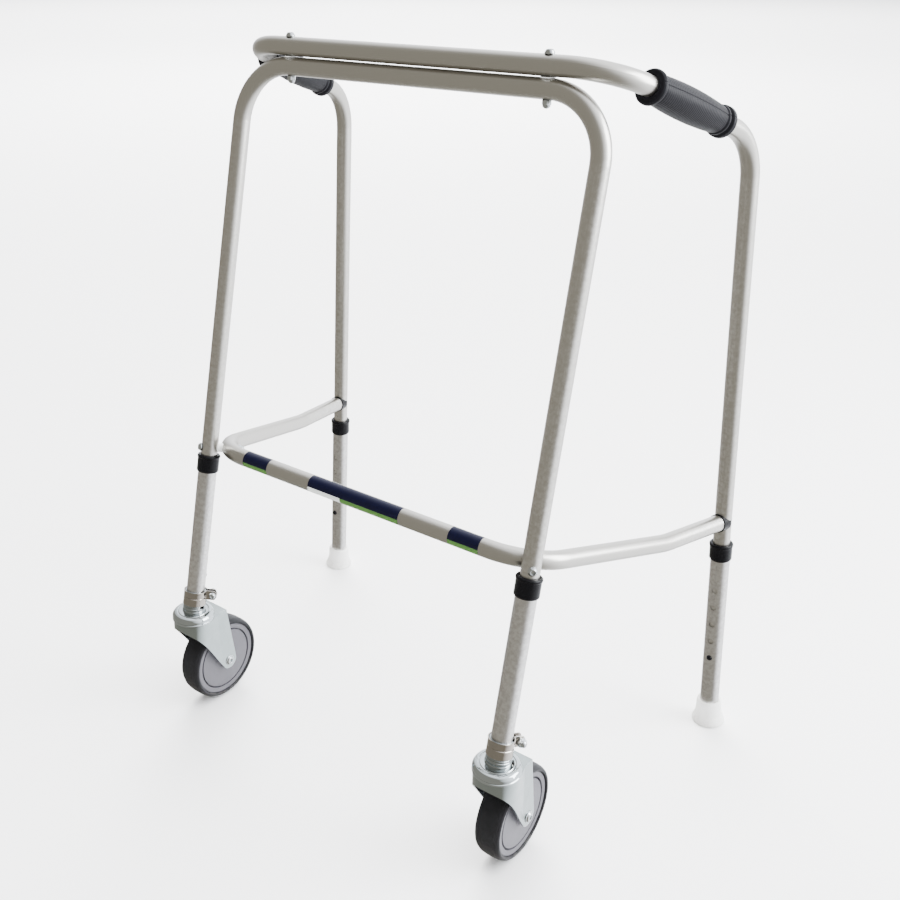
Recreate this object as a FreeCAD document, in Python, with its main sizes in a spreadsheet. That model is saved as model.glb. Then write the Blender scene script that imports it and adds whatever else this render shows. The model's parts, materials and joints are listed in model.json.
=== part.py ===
import FreeCAD, Part
import math
import os
import re
import Sketcher
from FreeCAD import Matrix, Placement, Rotation, Vector

# A non-folding walking frame: bent aluminium tubes bolted together, sleeve legs that adjust in
# height on snap buttons, rubber feet at the back and two swivel castors at the front.
# X is the user's right, -Y is the walking direction, Z is up. All sizes are in millimetres.

RIGHT = 1
LEFT = -1
SIDES = {"right": RIGHT, "left": LEFT}

DRIVING_SIZES = {
    # tubes
    "frame_tube_od": 22.2,
    "frame_tube_wall": 1.6,
    "sleeve_gap": 0.3,
    "lower_tube_wall": 1.3,
    "bend_radius": 70.0,
    "kink_radius": 150.0,
    # where the bent frame runs
    "crossbar_ahead": 60.7,
    "crossbar_height": 910.8,
    "crossbar_gap": 0.8,
    "handle_half_width": 252.6,
    "rear_bend_height": 821.6,
    "rear_foot_half_width": 348.1,
    "rear_foot_behind": 279.2,
    "rear_splay": 2.96,
    "rear_rake": 1.70,
    "arch_half_width": 250.2,
    "front_splay": 0.23,
    "front_lean": 11.64,
    # the brace between the front legs and the rear legs
    "brace_height": 395.1,
    "brace_spacer": 5.0,
    "kink_half_width": 305.4,
    "kink_behind": 140.2,
    "kink_height": 337.3,
    "brace_end_height": 322.0,
    "saddle_thick": 3.5,
    "saddle_lip": 1.2,
    "saddle_spigot": 18.0,
    "saddle_screw_grip": 14.4,
    # height adjustment
    "hole_pitch": 27.2,
    "hole_count": 5,
    "button_diameter": 7.6,
    "button_fit": 0.25,
    "button_proud": 2.6,
    "button_flange": 1.2,
    "button_base_thick": 1.2,
    "button_base_depth": 1.6,
    "button_round": 1.6,
    "rear_button_height": 112.0,
    "front_button_rise": 19.2,
    "tube_below_button": 25.0,
    "front_hole_turn": 78.0,
    "spring_strip": 0.7,
    "spring_width": 7.0,
    "spring_length": 34.0,
    "spring_tab": 1.0,
    "spring_back_gap": 0.3,
    "rear_collar_top": 290.3,
    "front_collar_top": 386.6,
    "collar_wall": 2.5,
    "collar_length": 27.0,
    "collar_lip": 3.5,
    "collar_edge": 1.6,
    # rubber feet
    "ferrule_height": 36.0,
    "ferrule_wall": 4.3,
    "ferrule_base_flare": 5.5,
    "ferrule_waist_height": 14.0,
    "ferrule_floor": 8.0,
    "ferrule_rim_height": 3.0,
    "ferrule_edge": 1.5,
    "ferrule_flare": 1.2,
    "ferrule_trim": 6.0,
    # hand grips
    "grip_past_bend": 0.2,
    "grip_length": 149.0,
    "grip_wall": 5.4,
    "grip_front_flange": 4.0,
    "grip_rear_flange": 2.5,
    "grip_flange_thick": 8.0,
    "grip_edge": 1.5,
    "grip_neck": 1.0,
    "grip_belly": 0.8,
    # fasteners
    "bolt_diameter": 6.0,
    "bolt_fit": 0.2,
    "bolt_head_diameter": 11.0,
    "bolt_head_height": 4.6,
    "nut_diameter": 11.0,
    "nut_height": 5.0,
    "nut_dome": 4.0,
    "nut_crown_gap": 0.6,
    "thread_gap": 0.05,
    "crossbar_bolt_inset": 3.5,
    "crossbar_spacer_diameter": 16.0,
    "brace_spacer_diameter": 12.0,
    # labels on the brace
    "label_thick": 0.3,
    "label_wrap": 142.0,
    "label_turn": 35.0,
    "main_label_length": 142.0,
    "small_label_length": 42.0,
    "small_label_inset": 7.0,
    # castors
    "wheel_radius": 61.0,
    "castor_trail": 43.0,
    "crown_gap": 26.5,
    "swivel_cross_rise": 6.5,
    "crown_radius": 28.0,
    "fork_side_gap": 2.5,
    "fork_plate": 2.5,
    "fork_tip_radius": 13.0,
    "fork_crown_back": 42.5,
    "fork_skirt": 9.5,
    "fork_belly_back": 4.5,
    "fork_belly_rise": 6.0,
    "fork_front_angle": 25.0,
    "fork_back_angle": 8.0,
    "dome_radius": 29.2,
    "dome_height": 12.5,
    "dome_wall": 2.2,
    "dome_gap": 0.5,
    "dome_edge": 0.8,
    "dome_flat_radius": 22.2,
    "ball_diameter": 6.0,
    "ball_ring_radius": 20.0,
    "ball_count": 14,
    "socket_wall": 1.7,
    "socket_fit": 0.05,
    "socket_depth": 25.3,
    "front_tube_standoff": 7.5,
    "socket_base_height": 4.0,
    "socket_base_lip": 1.15,
    "socket_heel": 3.5,
    "slit_width": 7.0,
    "slit_margin": 1.0,
    "band_thick": 1.4,
    "band_width": 20.0,
    "band_groove_width": 0.8,
    "band_groove_depth": 0.5,
    "ear_gap": 6.0,
    "ear_thick": 1.6,
    "ear_reach": 14.5,
    "ear_rise": 4.5,
    "ear_width": 13.0,
    "right_ear_turn": 64.0,
    "left_ear_turn": 42.0,
    "clamp_bolt_diameter": 5.0,
    "clamp_bolt_fit": 0.2,
    "clamp_bolt_out": 8.0,
    "clamp_head_diameter": 10.0,
    "clamp_head_height": 4.0,
    "clamp_head_edge": 1.0,
    "clamp_nut_height": 5.5,
    "clamp_nut_dome": 4.0,
    "king_pin_diameter": 12.0,
    "king_pin_fit": 0.08,
    "king_pin_gap": 0.4,
    "king_pin_head_diameter": 20.0,
    "king_pin_head_height": 3.0,
    "king_pin_head_edge": 1.2,
    "king_pin_grip": 2.4,
    "tyre_half_width": 17.0,
    "tyre_thick": 7.0,
    "tyre_edge": 1.4,
    "tyre_crown_half_width": 5.0,
    "hub_inset": 2.4,
    "hub_boss_proud": 0.5,
    "hub_boss_radius": 13.0,
    "hub_rim": 7.7,
    "hub_groove_width": 1.8,
    "hub_groove_depth": 1.6,
    "hub_bore_radius": 9.0,
    "hub_edge": 1.2,
    "hub_dish": 0.4,
    "hub_boss_slope": 2.0,
    "axle_diameter": 8.0,
    "axle_fit": 0.05,
    "axle_head_diameter": 12.0,
    "axle_head_height": 3.6,
    "axle_bolt_tail": 4.0,
    "axle_nut_diameter": 13.6,
    "axle_nut_height": 6.5,
    "axle_nut_edge": 1.2,
    "axle_side_gap": 0.4,
}

doc = FreeCAD.newDocument("walking_frame")
sheet = doc.addObject("Spreadsheet::Sheet", "Sizes")


def fill_sheet():
    for row, (alias, value) in enumerate(DRIVING_SIZES.items(), start=1):
        sheet.set(f"A{row}", alias)
        sheet.set(f"B{row}", str(value))
        sheet.setAlias(f"B{row}", alias)
    doc.recompute()


def size(alias):
    return float(sheet.get(alias))


def bound(text):
    """An expression written with bare aliases, each one turned into a cell of the sheet."""
    return re.sub(r"[a-z][a-z_]{3,}", lambda word: "Sizes." + word.group(0), text)


fill_sheet()

# ---------------------------------------------------------------------------------------------
# Places on the frame, all worked out from the driving sizes
# ---------------------------------------------------------------------------------------------


def crossbar_y():
    return -size("crossbar_ahead")


def arch_height():
    return size("crossbar_height") - size("frame_tube_od") - size("crossbar_gap")


def front_up(side):
    """Direction up along a front leg."""
    splay = math.tan(math.radians(size("front_splay")))
    lean = math.tan(math.radians(size("front_lean")))
    return Vector(-side * splay, lean, 1).normalize()


def front_point(side, height):
    """The point of a front leg's axis at this height."""
    top = Vector(side * size("arch_half_width"), crossbar_y(), arch_height())
    up = front_up(side)
    return top + up * ((height - arch_height()) / up.z)


def rear_up(side):
    """Direction up along a rear leg."""
    splay = math.tan(math.radians(size("rear_splay")))
    rake = math.tan(math.radians(size("rear_rake")))
    return Vector(-side * splay, -rake, 1).normalize()


def rear_point(side, height):
    """The point of a rear leg's axis at this height."""
    foot_y = crossbar_y() + size("rear_foot_behind")
    foot = Vector(side * size("rear_foot_half_width"), foot_y, 0)
    up = rear_up(side)
    return foot + up * (height / up.z)


def handle_corner(side):
    return Vector(side * size("handle_half_width"), crossbar_y(), size("crossbar_height"))


def arm_direction(side):
    return (rear_point(side, size("rear_bend_height")) - handle_corner(side)).normalize()


def button_height(end):
    """The height of a leg's snap button. The front ones stand a little above the castor's socket."""
    if end == "rear":
        return size("rear_button_height")
    return socket_top_height() + size("front_button_rise")


def bend_setback(before, corner, after):
    """How far from its corner a bend of the frame tube ends."""
    turn = math.pi - (before - corner).getAngle(after - corner)
    return size("bend_radius") * math.tan(turn / 2)


def axes_at(point, up, facing):
    """A placement with +Z along up and +X as near to facing as it can be."""
    z_axis = Vector(up).normalize()
    y_axis = z_axis.cross(facing).normalize()
    x_axis = y_axis.cross(z_axis)
    return Placement(
        Matrix(
            x_axis.x, y_axis.x, z_axis.x, point.x,
            x_axis.y, y_axis.y, z_axis.y, point.y,
            x_axis.z, y_axis.z, z_axis.z, point.z,
            0, 0, 0, 1,
        )
    )


def front_hole_facing(side):
    """The front legs' holes face inward and backward, out of the way of the wheels."""
    turn = math.radians(size("front_hole_turn"))
    return Vector(-side * math.cos(turn), math.sin(turn), 0)


def rear_hole_facing(side):
    return Vector(0, -1, 0)


LEGS = {
    "front": {
        "point": front_point,
        "up": front_up,
        "facing": front_hole_facing,
        "collar_top": "front_collar_top",
    },
    "rear": {
        "point": rear_point,
        "up": rear_up,
        "facing": rear_hole_facing,
        "collar_top": "rear_collar_top",
    },
}


def leg_frame(end, side, height):
    """A placement on a leg's axis at this height, with +Z up the leg and +X out of its holes."""
    leg = LEGS[end]
    return axes_at(leg["point"](side, height), leg["up"](side), leg["facing"](side))


# ---------------------------------------------------------------------------------------------
# Building blocks
# ---------------------------------------------------------------------------------------------

OVERCUT = 1.0  # how far a cutting solid runs past what it cuts

nodes = []


def keep(thing, label, placement=None):
    """Names an object as one of the frame's pieces, which is written to its own file."""
    thing.Label = label
    if placement is not None:
        thing.Placement = placement
    nodes.append(thing)
    return thing


def turned_body(label, outline):
    """A body turned about its own Z axis, from an outline of (radius, height) expressions.

    The sketch is first drawn as a small ring of lines, which its constraints then pull into place.
    """
    body = doc.addObject("PartDesign::Body", label)
    sketch = body.newObject("Sketcher::SketchObject", label + "_outline")
    plane = next(f for f in body.Origin.OriginFeatures if f.Role == "XZ_Plane")
    sketch.AttachmentSupport = [(plane, "")]
    sketch.MapMode = "FlatFace"
    count = len(outline)
    middle = Vector(20, 20, 0)
    ring = [2 * math.pi * i / count for i in range(count)]
    corners = [middle + Vector(5 * math.cos(turn), 5 * math.sin(turn), 0) for turn in ring]
    for start, end in zip(corners, corners[1:] + corners[:1]):
        sketch.addGeometry(Part.LineSegment(start, end), False)
    for i in range(count):
        sketch.addConstraint(Sketcher.Constraint("Coincident", i, 2, (i + 1) % count, 1))
    for i, (radius, height) in enumerate(outline):
        for kind, text in (("DistanceX", radius), ("DistanceY", height)):
            number = sketch.addConstraint(Sketcher.Constraint(kind, -1, 1, i, 1, 10.0))
            sketch.setExpression(f"Constraints[{number}]", bound(text))
    turn = body.newObject("PartDesign::Revolution", label + "_turn")
    turn.Profile = sketch
    turn.ReferenceAxis = (sketch, ["V_Axis"])
    turn.Angle = 360.0
    return body


def turned(label, outline, placement):
    return keep(turned_body(label, outline), label, placement)


def turned_group(label, outline, placements):
    """Identical turned pieces that share one node, as separate solids."""
    members = []
    for i, placement in enumerate(placements):
        member = turned_body(f"{label}_{i + 1}", outline)
        member.Placement = placement
        members.append(member)
    group = doc.addObject("Part::Compound", label + "_group")
    group.Links = members
    return keep(group, label)


def cylinder(label, radius, height, placement):
    """A cylinder bound to the sheet, from radius and height expressions."""
    thing = doc.addObject("Part::Cylinder", label)
    thing.setExpression("Radius", bound(radius))
    thing.setExpression("Height", bound(height))
    thing.Placement = placement
    return thing


def box(label, length, width, height, placement):
    thing = doc.addObject("Part::Box", label)
    thing.setExpression("Length", bound(length))
    thing.setExpression("Width", bound(width))
    thing.setExpression("Height", bound(height))
    thing.Placement = placement
    return thing


def cut(label, base, tools):
    """Base with every tool taken away from it."""
    joined = tools[0]
    if len(tools) > 1:
        joined = doc.addObject("Part::MultiFuse", label + "_tools")
        joined.Shapes = tools
    thing = doc.addObject("Part::Cut", label)
    thing.Base = base
    thing.Tool = joined
    return thing


def fixed_shape(label, shape):
    """A piece whose shape follows several leaning axes at once."""
    thing = doc.addObject("Part::Feature", label)
    thing.Shape = shape
    return keep(thing, label, Placement())


def rounded_path(points, radii):
    """Straight runs joined by tangent arcs, one radius for each inner point."""
    edges = []
    start = points[0]
    for before, corner, after, radius in zip(points, points[1:], points[2:], radii):
        back = (before - corner).normalize()
        ahead = (after - corner).normalize()
        half_turn = (math.pi - back.getAngle(ahead)) / 2
        setback = radius * math.tan(half_turn)
        middle_way = (back + ahead).normalize()
        first = corner + back * setback
        last = corner + ahead * setback
        middle = corner + middle_way * (radius / math.cos(half_turn) - radius)
        edges.append(Part.LineSegment(start, first).toShape())
        edges.append(Part.Arc(first, middle, last).toShape())
        start = last
    edges.append(Part.LineSegment(start, points[-1]).toShape())
    return Part.Wire(edges)


def rod(path, radius):
    """A solid round bar along a path."""
    start = path.Edges[0].Vertexes[0].Point
    heading = path.Edges[0].tangentAt(path.Edges[0].FirstParameter)
    ring = Part.Wire([Part.Circle(start, heading, radius).toShape()])
    return path.makePipeShell([ring], True, False)


def tube(path):
    outer = size("frame_tube_od") / 2
    return rod(path, outer).cut(rod(path, outer - size("frame_tube_wall")))


def bar(start, along, radius, length):
    """A plain round bar from a point, along a direction."""
    return Part.makeCylinder(radius, length, start, along)


def quarter_round(wide, low, narrow, high, steps=3):
    """Outline points of a quarter ellipse, from (wide, low) in and up to (narrow, high)."""
    points = []
    for i in range(steps + 1):
        turn = math.pi / 2 * i / steps
        radius = f"{narrow} + ({wide} - ({narrow})) * {math.cos(turn):.5f}"
        height = f"{low} + ({high} - ({low})) * {math.sin(turn):.5f}"
        points.append((radius, height))
    return points


# ---------------------------------------------------------------------------------------------
# The bent frame
# ---------------------------------------------------------------------------------------------


def bolt_hole_radius():
    return size("bolt_diameter") / 2 + size("bolt_fit")


def bolt_clearance(point, along):
    """A bolt hole through a whole tube, centred on a point of its axis."""
    length = 2 * size("frame_tube_od")
    return bar(point - along * (length / 2), along, bolt_hole_radius(), length)


def button_hole(end, side):
    """The hole in a frame tube that the snap button stands in."""
    place = leg_frame(end, side, button_height(end))
    along = place.Rotation.multVec(Vector(1, 0, 0))
    radius = size("button_diameter") / 2 + size("button_fit")
    return bar(place.Base, along, radius, size("frame_tube_od"))


def crossbar_bolt_points():
    """The bolts stand just inside the arch's bends, where both crossbars are still straight."""
    corner = front_point(RIGHT, arch_height())
    setback = bend_setback(front_point(RIGHT, 0), corner, front_point(LEFT, arch_height()))
    spacing = corner.x - setback - size("crossbar_bolt_inset")
    return [Vector(side * spacing, crossbar_y(), size("crossbar_height")) for side in (1, -1)]


def handle_path():
    end_height = button_height("rear") - size("tube_below_button")
    bend_height = size("rear_bend_height")
    right = [rear_point(RIGHT, end_height), rear_point(RIGHT, bend_height), handle_corner(RIGHT)]
    left = [handle_corner(LEFT), rear_point(LEFT, bend_height), rear_point(LEFT, end_height)]
    return rounded_path(right + left, [size("bend_radius")] * 4)


def arch_path():
    end_height = button_height("front") - size("tube_below_button")
    points = []
    for side in (RIGHT, LEFT):
        run = [front_point(side, end_height), front_point(side, arch_height())]
        points += run if side == RIGHT else run[::-1]
    return rounded_path(points, [size("bend_radius")] * 2)


def brace_kink(side):
    kink_y = crossbar_y() + size("kink_behind")
    return Vector(side * size("kink_half_width"), kink_y, size("kink_height"))


def brace_end_direction(side):
    """The way the brace runs as it meets the rear leg."""
    return (rear_point(side, size("brace_end_height")) - brace_kink(side)).normalize()


def brace_end(side):
    """The end of the brace's tube, short of the rear leg by the saddle's thickness."""
    setback = size("frame_tube_od") / 2 + size("saddle_thick")
    leg_point = rear_point(side, size("brace_end_height"))
    return leg_point - brace_end_direction(side) * setback


CORNER_ROUNDS = 8  # the corner settles to well under a micrometre in this many rounds


def brace_corner(side):
    """Where the brace's straight runs would meet, the bolt's direction, and the bolt's leg point.

    The middle of the corner's bend stands off the front leg by the spacer, so the corner is
    moved until it does.
    """
    radius = size("bend_radius")
    kink = brace_kink(side)
    corner = front_point(side, size("brace_height"))
    for _ in range(CORNER_ROUNDS):
        ahead = (kink - corner).normalize()
        inward = Vector(-side, 0, 0)
        half_turn = (math.pi - inward.getAngle(ahead)) / 2
        middle_way = (inward + ahead).normalize()
        to_middle = middle_way * (radius / math.cos(half_turn) - radius)
        up = front_up(side)
        outward = (up * middle_way.dot(up) - middle_way).normalize()
        standoff = outward * (size("frame_tube_od") + size("brace_spacer"))
        leg_point = front_point(side, size("brace_height") + to_middle.z + standoff.z)
        corner = leg_point - standoff - to_middle
    return corner, outward, leg_point


def brace_path():
    points = []
    for side in (RIGHT, LEFT):
        run = [brace_end(side), brace_kink(side), brace_corner(side)[0]]
        points += run if side == RIGHT else run[::-1]
    bend, kink = size("bend_radius"), size("kink_radius")
    return rounded_path(points, [kink, bend, bend, kink])


def make_handle_frame():
    shape = tube(handle_path())
    for point in crossbar_bolt_points():
        shape = shape.cut(bolt_clearance(point, Vector(0, 0, 1)))
    for side in (RIGHT, LEFT):
        shape = shape.cut(button_hole("rear", side))
        leg_point = rear_point(side, size("brace_end_height"))
        shape = shape.cut(bolt_clearance(leg_point, brace_end_direction(side)))
    fixed_shape("handle_frame", shape)


def make_front_arch():
    shape = tube(arch_path())
    drop = Vector(0, 0, size("crossbar_height") - arch_height())
    for point in crossbar_bolt_points():
        shape = shape.cut(bolt_clearance(point - drop, Vector(0, 0, 1)))
    for side in (RIGHT, LEFT):
        shape = shape.cut(button_hole("front", side))
        corner, outward, leg_point = brace_corner(side)
        shape = shape.cut(bolt_clearance(leg_point, outward))
    fixed_shape("front_arch", shape)


def brace_bolt_middle(side):
    """The middle of the brace's bend, where the bolt goes through it."""
    corner, outward, leg_point = brace_corner(side)
    return leg_point - outward * (size("frame_tube_od") + size("brace_spacer"))


def make_brace_tube():
    shape = tube(brace_path())
    for side in (RIGHT, LEFT):
        outward = brace_corner(side)[1]
        shape = shape.cut(bolt_clearance(brace_bolt_middle(side), outward))
    fixed_shape("brace_tube", shape)


# ---------------------------------------------------------------------------------------------
# Fasteners and spacers of the frame
# ---------------------------------------------------------------------------------------------



def domed_bolt(shank, head, height, length):
    """A domed bolt, its head above zero and its shank below. The diameters are expressions."""
    rim = f"{height} * 0.4"
    return [
        ("0", f"-({length})"),
        (f"{shank} / 2", f"-({length})"),
        (f"{shank} / 2", "0"),
        (f"{head} / 2", "0"),
        *quarter_round(f"{head} / 2", rim, f"{head} / 6", height),
        ("0", height),
    ]


def domed_nut(shank, width, height, dome):
    """A closed nut over the end of a bolt, with a gap between the bolt's end and its crown."""
    return [
        (f"{shank} / 2 + thread_gap", "0"),
        (f"{width} / 2", "0"),
        *quarter_round(f"{width} / 2", height, f"{width} / 6", f"{height} + {dome}"),
        ("0", f"{height} + {dome}"),
        ("0", f"{height} + nut_crown_gap"),
        (f"{shank} / 2 + thread_gap", f"{height} + nut_crown_gap"),
    ]


def frame_bolt(length):
    return domed_bolt("bolt_diameter", "bolt_head_diameter", "bolt_head_height", length)


def frame_nut():
    return domed_nut("bolt_diameter", "nut_diameter", "nut_height", "nut_dome")


def make_crossbar_fasteners():
    radius = size("frame_tube_od") / 2
    tops = [point + Vector(0, 0, radius) for point in crossbar_bolt_points()]
    stack = 2 * size("frame_tube_od") + size("crossbar_gap")
    heads = [axes_at(top, Vector(0, 0, 1), Vector(1, 0, 0)) for top in tops]
    length = "2 * frame_tube_od + crossbar_gap + nut_height"
    turned_group("crossbar_bolts", frame_bolt(length), heads)
    seats = [axes_at(top - Vector(0, 0, stack), Vector(0, 0, -1), Vector(1, 0, 0)) for top in tops]
    turned_group("crossbar_nuts", frame_nut(), seats)
    washer = [
        ("bolt_diameter / 2 + thread_gap", "0"),
        ("crossbar_spacer_diameter / 2", "0"),
        ("crossbar_spacer_diameter / 2", "crossbar_gap"),
        ("bolt_diameter / 2 + thread_gap", "crossbar_gap"),
    ]
    rests = [point - Vector(0, 0, radius + size("crossbar_gap")) for point in crossbar_bolt_points()]
    turned_group(
        "crossbar_spacers", washer, [axes_at(p, Vector(0, 0, 1), Vector(1, 0, 0)) for p in rests]
    )


def seat_distance(leg_up, along):
    """How far from a tube's axis a flat bolt head clears the tube, when it leans along it."""
    lean = leg_up.getAngle(along) - math.pi / 2
    head = size("bolt_head_diameter") / 2
    return size("frame_tube_od") / 2 / math.cos(lean) + head * abs(math.tan(lean))


def collar_space(end, side):
    """The room that a collar needs round a leg, with a running clearance."""
    top = LEGS[end]["point"](side, size(LEGS[end]["collar_top"]))
    up = LEGS[end]["up"](side)
    clearance = size("sleeve_gap")
    low = top - up * size("collar_length")
    radius = lower_tube_radius() + size("collar_wall") + clearance
    return bar(low, up, radius, size("collar_length") + clearance)


def make_brace_fasteners():
    radius = size("frame_tube_od") / 2
    heads, seats, spacers = [], [], []
    brace_bar = rod(brace_path(), radius)
    arch_bar = rod(arch_path(), radius)
    for side in (RIGHT, LEFT):
        corner, outward, leg_point = brace_corner(side)
        middle = brace_bolt_middle(side)
        up = Vector(0, 0, 1)
        heads.append(axes_at(leg_point + outward * radius, outward, up))
        seats.append(axes_at(middle - outward * radius, -outward, up))
        block = bar(middle, outward, size("brace_spacer_diameter") / 2, (leg_point - middle).Length)
        hole = bar(middle, outward, bolt_hole_radius(), (leg_point - middle).Length)
        solid = block.cut(brace_bar).cut(arch_bar).cut(hole)
        spacers.append(solid.cut(collar_space("front", side)))
    length = "2 * frame_tube_od + brace_spacer + nut_height"
    turned_group("brace_bolts", frame_bolt(length), heads)
    turned_group("brace_nuts", frame_nut(), seats)
    fixed_shape("brace_spacers", Part.makeCompound(spacers))


def make_brace_ends():
    """Plastic saddles in the ends of the brace, each held by a screw from behind the rear leg."""
    radius = size("frame_tube_od") / 2
    inner = radius - size("frame_tube_wall")
    leg_bar = rod(handle_path(), radius)
    screws, saddles = [], []
    for side in (RIGHT, LEFT):
        along = brace_end_direction(side)
        leg_point = rear_point(side, size("brace_end_height"))
        end = brace_end(side)
        flange = bar(end, along, radius + size("saddle_lip"), (leg_point - end).Length)
        spigot = bar(end - along * size("saddle_spigot"), along, inner, size("saddle_spigot"))
        screw_reach = bar(
            end - along * size("saddle_spigot"), along,
            size("bolt_diameter") / 2 + size("thread_gap"), 3 * size("saddle_spigot"),
        )
        saddles.append(flange.cut(leg_bar).fuse(spigot).cut(screw_reach).removeSplitter())
        seat = leg_point + along * seat_distance(rear_up(side), along)
        screws.append(axes_at(seat, along, Vector(0, 0, 1)))
    fixed_shape("brace_end_saddles", Part.makeCompound(saddles))
    length = "frame_tube_od + saddle_thick + saddle_screw_grip"
    turned_group("brace_end_screws", frame_bolt(length), screws)


def make_labels():
    """Thin labels wrapped part of the way round the front run of the brace."""
    radius = size("frame_tube_od") / 2
    run_y = brace_corner(RIGHT)[0].y
    turn = math.radians(size("label_turn"))
    facing = Vector(0, -math.cos(turn), math.sin(turn))
    wrap_angle = size("label_wrap")

    def wrap(middle, length):
        start = Vector(middle - length / 2, run_y, size("brace_height"))
        axis = Vector(0, 0, 1)
        whole = Part.makeCylinder(radius + size("label_thick"), length, Vector(), axis, wrap_angle)
        skin = whole.cut(bar(Vector(), axis, radius, length))
        half_turn = Placement(Vector(), Rotation(axis, -wrap_angle / 2))
        place = axes_at(start, Vector(1, 0, 0), facing).multiply(half_turn)
        return skin.transformed(place.toMatrix(), copy=True)

    fixed_shape("main_label", wrap(0, size("main_label_length")))
    small = size("small_label_length")
    corner = brace_corner(RIGHT)[0]
    setback = bend_setback(brace_kink(RIGHT), corner, brace_corner(LEFT)[0])
    offset = corner.x - setback - size("small_label_inset") - small / 2
    fixed_shape("end_labels", Part.makeCompound([wrap(offset, small), wrap(-offset, small)]))


BARREL = "frame_tube_od / 2 + grip_wall"
FRONT_FLANGE = f"{BARREL} + grip_front_flange"
REAR_FLANGE = f"{BARREL} + grip_rear_flange"

GRIP_OUTLINE = [
    ("frame_tube_od / 2", "0"),
    (f"{FRONT_FLANGE} - grip_edge", "0"),
    (FRONT_FLANGE, "grip_edge"),
    (FRONT_FLANGE, "grip_flange_thick - grip_edge"),
    (f"{FRONT_FLANGE} - grip_edge", "grip_flange_thick"),
    (f"{BARREL} - grip_belly", "grip_flange_thick + grip_neck"),
    (BARREL, "grip_length * 0.35"),
    (BARREL, "grip_length * 0.65"),
    (f"{BARREL} - grip_belly", "grip_length - grip_flange_thick - grip_neck"),
    (f"{REAR_FLANGE} - grip_edge", "grip_length - grip_flange_thick"),
    (REAR_FLANGE, "grip_length - grip_flange_thick + grip_edge"),
    (REAR_FLANGE, "grip_length - grip_edge"),
    (f"{REAR_FLANGE} - grip_edge", "grip_length"),
    ("frame_tube_od / 2", "grip_length"),
]


def make_grips():
    for name, side in SIDES.items():
        along = arm_direction(side)
        corner = handle_corner(side)
        setback = bend_setback(handle_corner(-side), corner, corner + along)
        start = corner + along * (setback + size("grip_past_bend"))
        turned(f"{name}_grip", GRIP_OUTLINE, axes_at(start, along, Vector(1, 0, 0)))


# ---------------------------------------------------------------------------------------------
# Adjustable legs
# ---------------------------------------------------------------------------------------------


SLEEVE_BORE = "frame_tube_od / 2 + sleeve_gap"
SLEEVE_OUTSIDE = f"{SLEEVE_BORE} + lower_tube_wall"


def along_leg(end, side, low, high):
    """The distance along a leg between two heights."""
    return (high - low) / LEGS[end]["up"](side).z


def make_lower_tube(end, name, side, bottom_height):
    """A sleeve tube with a row of holes, its lowest hole on the button."""
    label = f"{end}_{name}_lower_tube"
    top_height = size(LEGS[end]["collar_top"]) - size("collar_lip")
    length = along_leg(end, side, bottom_height, top_height)
    place = leg_frame(end, side, bottom_height)
    outer = cylinder(label + "_outside", SLEEVE_OUTSIDE, str(length), place)
    inner = cylinder(label + "_bore", SLEEVE_BORE, str(length), place)
    holes = []
    first = along_leg(end, side, bottom_height, button_height(end))
    for i in range(int(size("hole_count"))):
        step = Placement(Vector(0, 0, first + i * size("hole_pitch")), Rotation(Vector(0, 1, 0), 90))
        hole = cylinder(
            f"{label}_hole_{i + 1}",
            "button_diameter / 2 + button_fit",
            "frame_tube_od",
            place.multiply(step),
        )
        holes.append(hole)
    keep(cut(label, outer, [inner] + holes), label)


COLLAR_OUTSIDE = f"{SLEEVE_OUTSIDE} + collar_wall"

COLLAR_OUTLINE = [
    (SLEEVE_BORE, "collar_length - collar_lip"),
    (SLEEVE_OUTSIDE, "collar_length - collar_lip"),
    (SLEEVE_OUTSIDE, "0"),
    (f"{COLLAR_OUTSIDE} - collar_edge", "0"),
    (COLLAR_OUTSIDE, "collar_edge"),
    (COLLAR_OUTSIDE, "collar_length - collar_edge * 0.5"),
    (f"{COLLAR_OUTSIDE} - collar_edge * 0.5", "collar_length"),
    (SLEEVE_BORE, "collar_length"),
]


def make_collar(end, name, side):
    top = leg_frame(end, side, size(LEGS[end]["collar_top"]))
    place = top.multiply(Placement(Vector(0, 0, -size("collar_length")), Rotation()))
    turned(f"{end}_{name}_collar", COLLAR_OUTLINE, place)


BUTTON_REACH = f"{SLEEVE_OUTSIDE} + button_proud"
BUTTON_BACK = "frame_tube_od / 2 - frame_tube_wall - button_base_depth"

BUTTON_OUTLINE = [
    ("0", f"{BUTTON_BACK} - button_base_thick"),
    ("button_diameter / 2 + button_flange", f"{BUTTON_BACK} - button_base_thick"),
    ("button_diameter / 2 + button_flange", BUTTON_BACK),
    ("button_diameter / 2", BUTTON_BACK),
    *quarter_round("button_diameter / 2", f"{BUTTON_REACH} - button_round", "button_round", BUTTON_REACH),
    ("0", BUTTON_REACH),
]


def make_button(end, name, side):
    place = leg_frame(end, side, button_height(end))
    outward = place.Rotation.multVec(Vector(1, 0, 0))
    turned(f"{end}_{name}_button", BUTTON_OUTLINE, axes_at(place.Base, outward, Vector(0, 0, 1)))


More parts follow.
